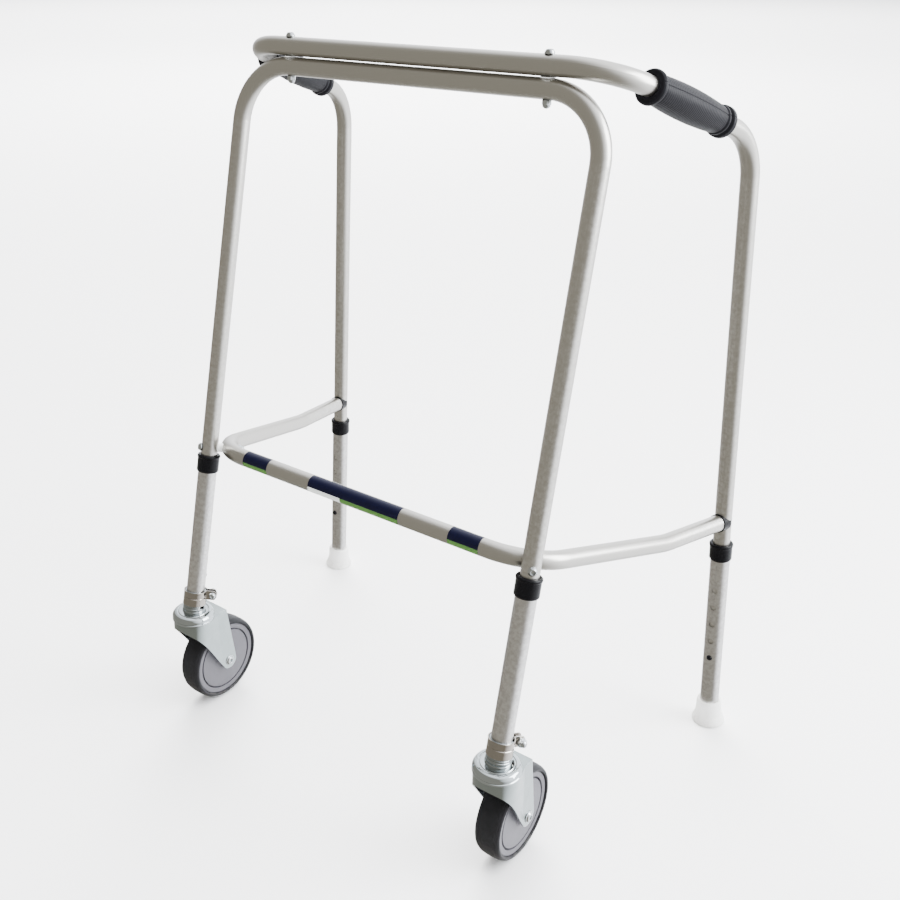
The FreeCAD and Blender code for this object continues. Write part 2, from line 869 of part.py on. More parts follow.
def spring_shape():
    """A V of spring strip that stands in a frame tube, open end up, button at its tip."""
    inside = size("frame_tube_od") / 2 - size("frame_tube_wall")
    front = inside - size("button_base_depth") - size("button_base_thick")
    back = size("spring_back_gap") - inside
    rise = size("button_diameter") / 2 + size("button_flange") + size("spring_tab")
    drop = size("spring_length") - rise
    strip = size("spring_strip")
    hollow = inside - math.sqrt(inside ** 2 - (size("spring_width") / 2) ** 2)
    outline = [
        (front, rise),
        (front, -rise),
        (strip, -drop),
        (-strip, -drop),
        (back + hollow, rise),
        (back + hollow + strip, rise),
        (0, -drop + 3 * strip),
        (front - strip, -rise),
        (front - strip, rise),
    ]
    half = size("spring_width") / 2
    points = [Vector(x, -half, z) for x, z in outline]
    face = Part.Face(Part.makePolygon(points + points[:1]))
    return face.extrude(Vector(0, size("spring_width"), 0))


def make_button_springs():
    springs = []
    for end in LEGS:
        for side in (RIGHT, LEFT):
            spring = spring_shape()
            spring.Placement = leg_frame(end, side, button_height(end))
            springs.append(spring)
    fixed_shape("button_springs", Part.makeCompound(springs))


def make_ferrule(name, side):
    """A rubber foot, turned about the leg and cut level with the floor."""
    label = f"rear_{name}_ferrule"
    top = f"{SLEEVE_OUTSIDE} + ferrule_wall"
    base = f"{top} + ferrule_base_flare"
    outline = [
        ("0", "-ferrule_trim"),
        (base, "-ferrule_trim"),
        (base, "ferrule_rim_height"),
        (f"{base} - ferrule_edge", "ferrule_rim_height + ferrule_edge"),
        (f"{top} + ferrule_flare", "ferrule_waist_height"),
        (top, "ferrule_height - ferrule_edge"),
        (f"{top} - ferrule_edge", "ferrule_height"),
        (SLEEVE_OUTSIDE, "ferrule_height"),
        (SLEEVE_OUTSIDE, "ferrule_floor"),
        ("0", "ferrule_floor"),
    ]
    foot = turned_body(label + "_turned", outline)
    foot.Placement = leg_frame("rear", side, 0)
    wide = 3 * lower_tube_radius()
    corner = Placement(rear_point(side, 0) - Vector(wide, wide, wide), Rotation())
    below = box(label + "_below_floor", str(2 * wide), str(2 * wide), str(wide), corner)
    keep(cut(label, foot, [below]), label)


def make_legs():
    for name, side in SIDES.items():
        make_lower_tube("rear", name, side, size("ferrule_floor"))
        make_lower_tube("front", name, side, socket_floor_height() + size("front_tube_standoff"))
        make_ferrule(name, side)
        for end in LEGS:
            make_collar(end, name, side)
            make_button(end, name, side)


# ---------------------------------------------------------------------------------------------
# Castors. Their sizes are heights above the floor, about the upright swivel axis.
# ---------------------------------------------------------------------------------------------


def swivel_point(side):
    """Where the upright swivel axis crosses the front leg's axis, brought down to the floor."""
    point = front_point(side, crown_height() + size("swivel_cross_rise"))
    return Vector(point.x, point.y, 0)


def crown_height():
    """The height of the fork's flat crown, over the top of the wheel."""
    return 2 * size("wheel_radius") + size("crown_gap")


def dome_top():
    return crown_height() + size("dome_gap") + size("dome_height")


def socket_floor_height():
    """The height of the socket's floor, which the lower tube stands on."""
    return dome_top() + size("socket_base_height")


def socket_top_height():
    return socket_floor_height() + size("socket_depth")


def lower_tube_radius():
    return size("frame_tube_od") / 2 + size("sleeve_gap") + size("lower_tube_wall")


def socket_radii():
    inside = lower_tube_radius() + size("socket_fit")
    return inside, inside + size("socket_wall")


def ear_facing(name):
    turn = math.radians(size(f"{name}_ear_turn"))
    return Vector(math.cos(turn), math.sin(turn), 0)


def band_frame(name, side):
    """A placement at the middle of the clamp band, +Z up the leg and +X towards its ears."""
    up = front_up(side)
    top = front_point(side, socket_top_height())
    middle = top - up * (size("band_width") / 2)
    return axes_at(middle, up, ear_facing(name))


def make_socket(name, side):
    inside, outside = socket_radii()
    up = front_up(side)
    floor = front_point(side, socket_floor_height())
    length = along_leg("front", side, socket_floor_height(), socket_top_height())
    swivel = swivel_point(side)
    base = bar(
        swivel + Vector(0, 0, dome_top()), Vector(0, 0, 1),
        outside + size("socket_base_lip"), size("socket_base_height"),
    )
    heel = size("socket_heel")
    step = bar(floor - up * heel, up, outside, length + heel)
    room = 4 * outside
    above_dome = Part.makeBox(room, room, room, swivel + Vector(-room / 2, -room / 2, dome_top()))
    shape = base.fuse(step.common(above_dome)).cut(bar(floor, up, inside, length + OVERCUT))
    pin = bar(swivel, Vector(0, 0, 1), size("king_pin_diameter") / 2, king_pin_top())
    shape = shape.cut(pin)
    slit_width, margin = size("slit_width"), size("slit_margin")
    slit = Part.makeBox(outside + OVERCUT, slit_width, length - margin + OVERCUT)
    corner = Vector(0, -slit_width / 2, size("band_width") / 2 - length + margin)
    slit.Placement = band_frame(name, side).multiply(Placement(corner, Rotation()))
    fixed_shape(f"{name}_castor_socket", shape.cut(slit).removeSplitter())


def make_band(name, side):
    """A steel band round the socket, with two ears that a bolt draws together."""
    inner = socket_radii()[1]
    outer = inner + size("band_thick")
    width = size("band_width")
    low = Vector(0, 0, -width / 2)
    axis = Vector(0, 0, 1)
    gap = size("ear_gap")
    ring = bar(low, axis, outer, width)
    reach = outer + size("ear_reach")
    half_ear = size("ear_width") / 2
    rise = size("ear_rise")
    ears = Part.makeBox(reach, gap + 2 * size("ear_thick"), 2 * half_ear)
    ears.translate(Vector(0, -gap / 2 - size("ear_thick"), rise - half_ear))
    tall = width + 2 * half_ear
    between = Part.makeBox(reach + OVERCUT, gap, tall)
    between.translate(Vector(0, -gap / 2, -tall / 2))
    groove_width = size("band_groove_width")
    groove_low = Vector(0, 0, -groove_width / 2)
    groove = bar(groove_low, axis, outer + OVERCUT, groove_width).cut(
        bar(groove_low, axis, outer - size("band_groove_depth"), groove_width)
    )
    shape = ring.cut(groove).fuse(ears).cut(bar(Vector(0, 0, -tall / 2), axis, inner, tall)).cut(between)
    hole_start = Vector(clamp_bolt_offset(), -outer, rise)
    hole_radius = size("clamp_bolt_diameter") / 2 + size("clamp_bolt_fit")
    bolt_hole = bar(hole_start, Vector(0, 1, 0), hole_radius, 2 * outer)
    thing = doc.addObject("Part::Feature", f"{name}_clamp_band")
    thing.Shape = shape.cut(bolt_hole).removeSplitter()
    keep(thing, f"{name}_clamp_band", band_frame(name, side))


def clamp_bolt_offset():
    """How far the clamp bolt is from the leg's axis."""
    return socket_radii()[1] + size("band_thick") + size("clamp_bolt_out")


def make_clamp_bolt(name, side):
    half_stack = size("ear_gap") / 2 + size("ear_thick")
    place = band_frame(name, side)
    across = place.Rotation.multVec(Vector(0, -1, 0))
    centre = place.multVec(Vector(clamp_bolt_offset(), 0, size("ear_rise")))
    length = "ear_gap + 2 * ear_thick + clamp_nut_height"
    bolt = [
        ("0", f"-({length})"),
        ("clamp_bolt_diameter / 2", f"-({length})"),
        ("clamp_bolt_diameter / 2", "0"),
        ("clamp_head_diameter / 2", "0"),
        ("clamp_head_diameter / 2", "clamp_head_height - clamp_head_edge"),
        ("clamp_head_diameter / 2 - clamp_head_edge", "clamp_head_height"),
        ("0", "clamp_head_height"),
    ]
    nut = domed_nut("clamp_bolt_diameter", "clamp_head_diameter", "clamp_nut_height", "clamp_nut_dome")
    up = place.Rotation.multVec(Vector(0, 0, 1))
    bolt_way, nut_way = (-across, across) if name == "right" else (across, -across)
    turned(f"{name}_clamp_bolt", bolt, axes_at(centre + bolt_way * half_stack, bolt_way, up))
    turned(f"{name}_clamp_nut", nut, axes_at(centre + nut_way * half_stack, nut_way, up))


def on_swivel(side, height=0.0):
    return Placement(swivel_point(side) + Vector(0, 0, height), Rotation())


def make_dome(name, side):
    """The polished cap over the ball race."""
    inside = "dome_radius - dome_wall"
    underside = "dome_height - dome_wall"
    outer_round = quarter_round("dome_radius", "dome_height * 0.4", "dome_flat_radius", "dome_height", 4)
    inner_round = quarter_round(inside, "dome_height * 0.3", "dome_flat_radius - dome_wall", underside)
    outline = [
        ("king_pin_diameter / 2", "dome_height"),
        ("king_pin_diameter / 2", underside),
        *inner_round[::-1],
        (inside, "0"),
        ("dome_radius - dome_edge", "0"),
        ("dome_radius", "dome_edge"),
        *outer_round,
    ]
    height = crown_height() + size("dome_gap")
    turned(f"{name}_swivel_dome", outline, on_swivel(side, height))


def make_balls(name, side):
    radius = size("ball_diameter") / 2
    count = int(size("ball_count"))
    balls = []
    for i in range(count):
        turn = 2 * math.pi * i / count
        reach = size("ball_ring_radius")
        centre = Vector(reach * math.cos(turn), reach * math.sin(turn), radius)
        balls.append(Part.makeSphere(radius, centre))
    thing = doc.addObject("Part::Feature", f"{name}_swivel_balls")
    thing.Shape = Part.makeCompound(balls)
    keep(thing, f"{name}_swivel_balls", on_swivel(side, crown_height()))


def king_pin_top():
    """The height of the king pin's upper end, inside the socket's base."""
    return dome_top() + size("king_pin_grip")


def make_king_pin(name, side):
    """The pin that the fork turns on, riveted over below the crown."""
    head = "king_pin_head_diameter / 2"
    stem = (
        "king_pin_head_height + king_pin_gap + fork_plate + dome_gap + dome_height + king_pin_grip"
    )
    outline = [
        ("0", "0"),
        (f"{head} - king_pin_head_edge", "0"),
        (head, "king_pin_head_edge"),
        (head, "king_pin_head_height"),
        ("king_pin_diameter / 2", "king_pin_head_height"),
        ("king_pin_diameter / 2", stem),
        ("0", stem),
    ]
    under = crown_height() - size("fork_plate") - size("king_pin_gap")
    turned(f"{name}_king_pin", outline, on_swivel(side, under - size("king_pin_head_height")))


HUB_BOSS = "(tyre_half_width + hub_boss_proud)"
FORK_HALF_WIDTH = f"({HUB_BOSS} + fork_side_gap + fork_plate)"


def fork_half_width():
    """Half the fork's width over its plates, which clear the wheel on both sides."""
    wheel = size("tyre_half_width") + size("hub_boss_proud")
    return wheel + size("fork_side_gap") + size("fork_plate")


def fork_outline():
    """The fork's side view, as a face in the YZ plane about the swivel axis at the floor."""
    axle = Vector(0, size("castor_trail"), size("wheel_radius"))
    tip = size("fork_tip_radius")
    top = crown_height()
    front = -size("crown_radius") - OVERCUT
    high_front = Vector(0, front, top - size("fork_skirt"))
    front_angle = math.radians(size("fork_front_angle"))
    low_front = axle - Vector(0, tip * math.cos(front_angle), tip * math.sin(front_angle))
    belly = (high_front + low_front) * 0.5 + Vector(0, size("fork_belly_back"), size("fork_belly_rise"))
    back_top = Vector(0, size("fork_crown_back"), top)
    back_angle = math.radians(size("fork_back_angle"))
    low_back = axle + Vector(0, tip * math.cos(back_angle), tip * math.sin(back_angle))
    bottom = axle + Vector(0, 0, -tip)
    edges = [
        Part.LineSegment(Vector(0, front, top), high_front).toShape(),
        Part.Arc(high_front, belly, low_front).toShape(),
        Part.Arc(low_front, bottom, low_back).toShape(),
        Part.LineSegment(low_back, back_top).toShape(),
        Part.LineSegment(back_top, Vector(0, front, top)).toShape(),
    ]
    return Part.Face(Part.Wire(edges))


def make_fork(name, side):
    """A pressed fork: a round crown that runs into two flat legs."""
    top = crown_height()
    plate = size("fork_plate")
    low = size("wheel_radius") - size("fork_tip_radius") - OVERCUT
    back = size("castor_trail") + size("fork_tip_radius") + OVERCUT

    def block(shrink, bottom, ceiling):
        half = fork_half_width() - shrink
        height = ceiling - bottom
        round_part = Part.makeCylinder(size("crown_radius") - shrink, height, Vector(0, 0, bottom))
        legs = Part.makeBox(2 * half, back + shrink, height, Vector(-half, 0, bottom))
        return round_part.fuse(legs)

    wide = size("crown_radius") + OVERCUT
    side_view = fork_outline().extrude(Vector(2 * wide, 0, 0)).translate(Vector(-wide, 0, 0))
    shape = block(0, low, top).common(side_view).cut(block(plate, low - OVERCUT, top - plate))
    pin_hole = size("king_pin_diameter") / 2 + size("king_pin_fit")
    shape = shape.cut(bar(Vector(0, 0, top - 2 * plate), Vector(0, 0, 1), pin_hole, 4 * plate))
    axle_start = Vector(-wide, size("castor_trail"), size("wheel_radius"))
    axle_hole = size("axle_diameter") / 2 + size("axle_fit")
    shape = shape.cut(bar(axle_start, Vector(1, 0, 0), axle_hole, 2 * wide))
    thing = doc.addObject("Part::Feature", f"{name}_castor_fork")
    thing.Shape = shape.removeSplitter()
    keep(thing, f"{name}_castor_fork", on_swivel(side))


def axle_frame(side, offset, along):
    """A placement on the axle, its +Z along the axle from a point this far off the wheel's middle."""
    centre = swivel_point(side) + Vector(offset, size("castor_trail"), size("wheel_radius"))
    return axes_at(centre, along, Vector(0, 0, 1))


def make_axle(name, side):
    across = Vector(1, 0, 0)
    half = fork_half_width()
    bolt = domed_bolt(
        "axle_diameter", "axle_head_diameter", "axle_head_height",
        f"2 * {FORK_HALF_WIDTH} + axle_bolt_tail",
    )
    turned(f"{name}_axle_bolt", bolt, axle_frame(side, half, across))
    nut = [
        ("axle_diameter / 2 + thread_gap", "0"),
        ("axle_nut_diameter / 2", "0"),
        ("axle_nut_diameter / 2", "axle_nut_height - axle_nut_edge"),
        ("axle_nut_diameter / 2 - axle_nut_edge", "axle_nut_height"),
        ("axle_diameter / 2 + thread_gap", "axle_nut_height"),
    ]
    turned(f"{name}_axle_nut", nut, axle_frame(side, -half, -across))
    thick = "fork_side_gap - axle_side_gap"
    spacer = [
        ("axle_diameter / 2 + axle_fit", "0"),
        ("hub_bore_radius", "0"),
        ("hub_bore_radius", thick),
        ("axle_diameter / 2 + axle_fit", thick),
    ]
    inside = half - size("fork_plate")
    places = [axle_frame(side, inside, -across), axle_frame(side, -inside, across)]
    turned_group(f"{name}_axle_spacers", spacer, places)


def make_wheel(name, side):
    across = Vector(1, 0, 0)
    place = axle_frame(side, 0, across)
    half = "(tyre_half_width - hub_inset)"
    boss = HUB_BOSS
    rim = "wheel_radius - tyre_thick"
    groove = f"{rim} - hub_rim"

    def face_points(sign):
        """One side of the hub, from its rim in to its boss."""
        return [
            (rim, f"{sign}({half} - hub_edge)"),
            (f"{rim} - hub_edge", f"{sign}{half}"),
            (groove, f"{sign}{half}"),
            (groove, f"{sign}({half} - hub_groove_depth)"),
            (f"{groove} - hub_groove_width", f"{sign}({half} - hub_groove_depth)"),
            (f"{groove} - hub_groove_width", f"{sign}({half} - hub_dish)"),
            ("hub_boss_radius + hub_boss_slope", f"{sign}({half} - hub_dish)"),
            ("hub_boss_radius", f"{sign}{boss}"),
            ("hub_bore_radius", f"{sign}{boss}"),
        ]

    hub = face_points("") + face_points("-")[::-1]
    turned(f"{name}_wheel_hub", hub, place)
    width = "tyre_half_width"
    edge = f"{rim} + tyre_edge"
    shoulder = quarter_round("wheel_radius", "tyre_crown_half_width", edge, width, 5)
    tread = [(rim, f"{width} - tyre_edge"), *shoulder[::-1]]
    mirrored = [(radius, f"-({height})") for radius, height in tread[::-1]]
    turned(f"{name}_wheel_tyre", tread + mirrored, place)
    bush = [
        ("axle_diameter / 2 + axle_fit", boss),
        ("hub_bore_radius", boss),
        ("hub_bore_radius", f"-{boss}"),
        ("axle_diameter / 2 + axle_fit", f"-{boss}"),
    ]
    turned(f"{name}_wheel_bush", bush, place)


def make_castors():
    for name, side in SIDES.items():
        make_socket(name, side)
        make_band(name, side)
        make_clamp_bolt(name, side)
        make_dome(name, side)
        make_balls(name, side)
        make_king_pin(name, side)
        make_fork(name, side)
        make_axle(name, side)
        make_wheel(name, side)


# ---------------------------------------------------------------------------------------------
# Build, check and write
# ---------------------------------------------------------------------------------------------


def build():
    make_handle_frame()
    make_front_arch()
    make_brace_tube()
    make_crossbar_fasteners()
    make_brace_fasteners()
    make_brace_ends()
    make_labels()
    make_grips()
    make_legs()
    make_button_springs()
    make_castors()
    doc.recompute()


def check():
    for thing in doc.Objects:
        if "Invalid" in thing.State or "Error" in thing.State:
            raise RuntimeError(f"{thing.Label} did not recompute: {thing.State}")
    for thing in nodes:
        if thing.Shape.isNull() or not thing.Shape.isValid():
            raise RuntimeError(f"{thing.Label} has no valid shape")
        if not thing.Shape.Solids:
            raise RuntimeError(f"{thing.Label} has no solid")


def write():
    os.makedirs("parts", exist_ok=True)
    for thing in nodes:
        thing.Shape.exportStep(f"parts/{thing.Label}.step")
    print(f"{len(nodes)} pieces written")


build()
check()
write()
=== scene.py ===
import json
import math

import bmesh
import bpy
import numpy as np
from mathutils import Matrix, Vector


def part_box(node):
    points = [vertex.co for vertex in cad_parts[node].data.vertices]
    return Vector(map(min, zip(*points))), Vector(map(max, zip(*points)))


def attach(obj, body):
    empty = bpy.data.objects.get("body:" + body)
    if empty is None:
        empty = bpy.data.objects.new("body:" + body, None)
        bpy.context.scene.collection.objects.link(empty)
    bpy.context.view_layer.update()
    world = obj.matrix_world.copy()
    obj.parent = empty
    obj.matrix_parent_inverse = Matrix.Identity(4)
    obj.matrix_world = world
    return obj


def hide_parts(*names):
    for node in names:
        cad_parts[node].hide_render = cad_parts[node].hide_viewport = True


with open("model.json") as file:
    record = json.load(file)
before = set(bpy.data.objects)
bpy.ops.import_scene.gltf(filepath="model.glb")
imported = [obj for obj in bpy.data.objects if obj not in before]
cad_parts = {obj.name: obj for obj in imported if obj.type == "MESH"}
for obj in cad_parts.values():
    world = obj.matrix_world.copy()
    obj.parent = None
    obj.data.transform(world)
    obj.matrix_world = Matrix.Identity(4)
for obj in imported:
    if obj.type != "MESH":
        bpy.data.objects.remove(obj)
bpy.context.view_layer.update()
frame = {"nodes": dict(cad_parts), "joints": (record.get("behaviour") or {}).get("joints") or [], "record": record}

# A walking frame of bent aluminium tube, with swivel castors in front and rubber feet behind.
# Everything is in metres, +Z up, -Y the way it walks. Sizes in millimetres are turned into
# metres by MM.

MM = 0.001
UP = Vector((0, 0, 1))
SIDES = {"right": 1, "left": -1}
LEGS = [(end, side) for side in SIDES for end in ("front", "rear")]
JOINTS = {joint["name"]: joint for joint in frame["joints"]}

# ---- Places, all read from the frame ----


def middle(node):
    low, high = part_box(node)
    return (low + high) / 2


def leg_up(end, side):
    """Direction up along a leg."""
    return -Vector(JOINTS[f"{end}_{side}_leg_slide"]["axis"]).normalized()


def leg_point(end, side, height):
    """The point of a leg's axis at this height."""
    start = middle(f"{end}_{side}_collar")
    up = leg_up(end, side)
    return start + up * ((height - start.z) / up.z)


def swivel_centre(side):
    return Vector(JOINTS[f"{side}_castor_swivel"]["pos_m"])


def axle_centre(side):
    return Vector(JOINTS[f"{side}_wheel_spin"]["pos_m"])


def node_points(node, sign=0):
    """A node's vertices; sign picks the right-hand or the left-hand solid of a pair."""
    points = np.array([vertex.co[:] for vertex in frame["nodes"][node].data.vertices])
    return points if sign == 0 else points[points[:, 0] * sign > 0]


def bolt_line(node, sign=0):
    """The end of a bolt's shank and the top of its head, found from its long axis."""
    points = node_points(node, sign)
    mean = points.mean(0)
    way = np.linalg.svd(points - mean, full_matrices=False)[2][0]
    along = (points - mean) @ way
    across = points - mean - np.outer(along, way)
    mean = mean + (across.max(0) + across.min(0)) / 2
    end_slice = 3.2 * MM
    widest = [
        np.linalg.norm(across[np.abs(along - end) < end_slice], axis=1).max()
        for end in (along.min(), along.max())
    ]
    ends = [Vector(mean + way * along.min()), Vector(mean + way * along.max())]
    return ends if widest[1] > widest[0] else ends[::-1]


def place_at(origin, up, facing=Vector((1, 0, 0))):
    """A matrix with +Z along up and +X as near to facing as it can be."""
    z_axis = up.normalized()
    y_axis = z_axis.cross(facing).normalized()
    x_axis = y_axis.cross(z_axis)
    matrix = Matrix((x_axis, y_axis, z_axis)).transposed().to_4x4()
    matrix.translation = origin
    return matrix


# ---- Mesh tools ----


def filleted(outline, loop=False, steps=4):
    """Rounds each (x, y, radius) corner of an outline with an arc. Points without a radius stay."""
    count = len(outline)
    made = []
    for i, point in enumerate(outline):
        radius = point[2] if len(point) > 2 else 0.0
        here = Vector(point[:2])
        at_end = not loop and i in (0, count - 1)
        if radius <= 0 or at_end:
            made.append((here.x, here.y))
            continue
        before = Vector(outline[i - 1][:2]) - here
        after = Vector(outline[(i + 1) % count][:2]) - here
        turn = math.pi - before.angle(after)
        if turn < 0.02:
            made.append((here.x, here.y))
            continue
        setback = min(radius * math.tan(turn / 2), 0.48 * before.length, 0.48 * after.length)
        radius = setback / math.tan(turn / 2)
        centre_way = (before.normalized() + after.normalized()).normalized()
        centre = here + centre_way * (radius / math.cos(turn / 2))
        first = here + before.normalized() * setback - centre
        last = here + after.normalized() * setback - centre
        sweep = first.angle_signed(last)
        for step in range(steps + 1):
            spoke = first.copy()
            spoke.rotate(Matrix.Rotation(-sweep * step / steps, 2))
            made.append((centre.x + spoke.x, centre.y + spoke.y))
    return made


def turn_into(bm, outline, place, segments=64, loop=False, flats=None):
    """Turns an outline of (radius, height) in millimetres about a placement's Z axis.

    flats = (across_flats, low, high) cuts six flats into the heights between low and high.
    """
    rings = []
    for radius, height in outline:
        if radius < 1e-6:
            rings.append([bm.verts.new(place @ Vector((0, 0, height * MM)))])
            continue
        ring = []
        for i in range(segments):
            angle = 2 * math.pi * i / segments
            reach = radius
            if flats and flats[1] <= height <= flats[2]:
                off_flat = (angle + math.pi / 6) % (math.pi / 3) - math.pi / 6
                reach = min(radius, flats[0] / 2 / math.cos(off_flat))
            spot = Vector((reach * math.cos(angle), reach * math.sin(angle), height)) * MM
            ring.append(bm.verts.new(place @ spot))
        rings.append(ring)
    pairs = list(zip(rings, rings[1:]))
    if loop:
        pairs.append((rings[-1], rings[0]))
    for low, high in pairs:
        if len(low) == 1 and len(high) == 1:
            continue
        for i in range(segments):
            j = (i + 1) % segments
            if len(low) == 1:
                bm.faces.new((low[0], high[j], high[i]))
            elif len(high) == 1:
                bm.faces.new((low[i], low[j], high[0]))
            else:
                bm.faces.new((low[i], low[j], high[j], high[i]))


def mesh_of(name, bm):
    """The mesh of a bmesh, which is then freed."""
    mesh = bpy.data.meshes.new(name)
    bm.to_mesh(mesh)
    bm.free()
    return mesh


def linked(name, data):
    """An object of this data, linked to the scene."""
    made = bpy.data.objects.new(name, data)
    bpy.context.scene.collection.objects.link(made)
    return made


def new_piece(name, bm, material, body, node, sharp=32):
    """Makes the mesh an object that rides on a body and stands for a CAD node."""
    bmesh.ops.recalc_face_normals(bm, faces=bm.faces)
    piece_from_mesh(name, mesh_of(name, bm), material, body, node, sharp)


def piece_from_mesh(name, mesh, material, body, node, sharp=32):
    mesh.polygons.foreach_set("use_smooth", [True] * len(mesh.polygons))
    mesh.set_sharp_from_angle(angle=math.radians(sharp))
    mesh.materials.clear()
    mesh.materials.append(material)
    piece = linked(name, mesh)
    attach(piece, body)
    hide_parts(node)


def baked(name, bm, *modifiers):
    """The mesh of a bmesh after modifiers, each given as (type, settings)."""
    bmesh.ops.recalc_face_normals(bm, faces=bm.faces)
    mesh = mesh_of(name + "_rough", bm)
    holder = linked(name + "_rough", mesh)
    for kind, settings in modifiers:
        modifier = holder.modifiers.new(kind.lower(), kind)
        for key, value in settings.items():
            setattr(modifier, key, value)
    graph = bpy.context.evaluated_depsgraph_get()
    made = bpy.data.meshes.new_from_object(holder.evaluated_get(graph))
    made.name = name
    bpy.data.objects.remove(holder)
    bpy.data.meshes.remove(mesh)
    return made


def thickened(thickness, offset):
    """Gives a sheet its thickness in millimetres."""
    return ("SOLIDIFY", {"thickness": thickness * MM, "offset": offset, "use_even_offset": True})


def bevelled(width, segments, degrees):
    """Rounds edges sharper than an angle, by a width in millimetres."""
    limit = math.radians(degrees)
    return ("BEVEL", {
        "width": width * MM, "segments": segments, "limit_method": "ANGLE", "angle_limit": limit,
    })


def turned_piece(name, outline, place, material, body, node, slot, **how):
    bm = bmesh.new()
    turn_into(bm, outline, place, **how)
    new_piece(name, bm, material, body, node)


# ---- Surface effects, shared by the materials ----


def new_group(name, inputs, outputs):
    """A shader node group. An input's value gives its kind of socket, an output's name its own."""
    kinds = {float: "NodeSocketFloat", Vector: "NodeSocketVector", tuple: "NodeSocketColor"}
    group = bpy.data.node_groups.new(name, "ShaderNodeTree")
    for label, value in inputs.items():
        kind = kinds[type(value)]
        socket = group.interface.new_socket(name=label, in_out="INPUT", socket_type=kind)
        socket.default_value = value
    for label in outputs:
        kind = kinds[tuple] if label == "Color" else kinds[float]
        group.interface.new_socket(name=label, in_out="OUTPUT", socket_type=kind)
    return group, group.nodes.new("NodeGroupInput"), group.nodes.new("NodeGroupOutput")


def add(tree, kind, **settings):
    node = tree.nodes.new(kind)
    for key, value in settings.items():
        setattr(node, key, value)
    return node


def wire(tree, value, socket):
    """Links a socket to a socket, or sets a plain value on it."""
    if isinstance(value, bpy.types.NodeSocket):
        tree.links.new(value, socket)
    else:
        socket.default_value = value


def math_node(tree, operation, *values, clamp=False):
    node = add(tree, "ShaderNodeMath", operation=operation, use_clamp=clamp)
    for value, socket in zip(values, node.inputs):
        wire(tree, value, socket)
    return node.outputs[0]


def times(tree, first, second, clamp=False):
    return math_node(tree, "MULTIPLY", first, second, clamp=clamp)


def mix_colour(tree, factor, first, second):
    node = add(tree, "ShaderNodeMix", data_type="RGBA")
    wire(tree, factor, node.inputs["Factor"])
    wire(tree, first, node.inputs["A"])
    wire(tree, second, node.inputs["B"])
    return node.outputs["Result"]


def fit_range(tree, value, low, high, to_low=0.0, to_high=1.0):
    node = add(tree, "ShaderNodeMapRange")
    for key, given in zip(
        ("Value", "From Min", "From Max", "To Min", "To Max"), (value, low, high, to_low, to_high)
    ):
        wire(tree, given, node.inputs[key])
    return node.outputs[0]


def noise(tree, coordinates, scale, detail=3.0, roughness=0.55):
    node = add(tree, "ShaderNodeTexNoise")
    wire(tree, coordinates, node.inputs["Vector"])
    wire(tree, scale, node.inputs["Scale"])
    node.inputs["Detail"].default_value = detail
    node.inputs["Roughness"].default_value = roughness
    return node.outputs["Fac"]


def make_mottle_group():
    """Slow and fine colour variation, with a matching change of roughness and height."""
    group, into, out = new_group(
        "surface_mottle",
        {
            "Color": (0.5, 0.5, 0.5, 1), "Second Color": (0.4, 0.4, 0.4, 1), "Amount": 0.5,
            "Broad Scale": 12.0, "Grain Scale": 900.0, "Roughness": 0.4, "Roughness Change": 0.08,
        },
        ["Color", "Roughness", "Height"],
    )
    place = add(group, "ShaderNodeTexCoord").outputs["Object"]
    broad = noise(group, place, into.outputs["Broad Scale"], detail=4.0)
    grain = noise(group, place, into.outputs["Grain Scale"], detail=2.0)
    broad_share = 0.65
    both = math_node(
        group, "ADD", times(group, broad, broad_share), times(group, grain, 1 - broad_share)
    )
    spread = fit_range(group, both, 0.3, 0.7)
    factor = times(group, spread, into.outputs["Amount"], True)
    colour = mix_colour(group, factor, into.outputs["Color"], into.outputs["Second Color"])
    centred = math_node(group, "SUBTRACT", spread, 0.5)
    change = times(group, centred, into.outputs["Roughness Change"])
    changed = math_node(group, "ADD", into.outputs["Roughness"], change, clamp=True)
    wire(group, colour, out.inputs["Color"])
    wire(group, changed, out.inputs["Roughness"])
    wire(group, grain, out.inputs["Height"])
    return group


def make_drawn_group():
    """Faint lines along a drawn or brushed surface, stretched along one axis of the piece."""
    group, into, out = new_group(
        "drawn_lines",
        {"Stretch": Vector((1.0, 1.0, 0.02)), "Scale": 1400.0, "Contrast": 1.0},
        ["Mask", "Height"],
    )
    place = add(group, "ShaderNodeTexCoord").outputs["Object"]
    stretched = add(group, "ShaderNodeVectorMath", operation="MULTIPLY")
    wire(group, place, stretched.inputs[0])
    wire(group, into.outputs["Stretch"], stretched.inputs[1])
    lines = noise(group, stretched.outputs[0], into.outputs["Scale"], detail=4.0, roughness=0.7)
    centred = math_node(group, "SUBTRACT", lines, 0.5)
    mask = times(group, centred, into.outputs["Contrast"])
    wire(group, math_node(group, "ADD", mask, 0.5, clamp=True), out.inputs["Mask"])
    wire(group, lines, out.inputs["Height"])
    return group


def make_edge_group():
    """A worn colour on outward edges, broken up so that no edge is worn evenly."""
    group, into, out = new_group(
        "edge_wear",
        {
            "Color": (0.5, 0.5, 0.5, 1), "Worn Color": (0.7, 0.7, 0.7, 1), "Amount": 0.5,
            "Scale": 220.0,
        },
        ["Color"],
    )
    edge = fit_range(group, add(group, "ShaderNodeNewGeometry").outputs["Pointiness"], 0.52, 0.62)
    place = add(group, "ShaderNodeTexCoord").outputs["Object"]
    broken = fit_range(group, noise(group, place, into.outputs["Scale"], detail=5.0), 0.38, 0.62)
    mask = times(group, times(group, edge, broken), into.outputs["Amount"], True)
    worn = mix_colour(group, mask, into.outputs["Color"], into.outputs["Worn Color"])
    wire(group, worn, out.inputs["Color"])
    return group


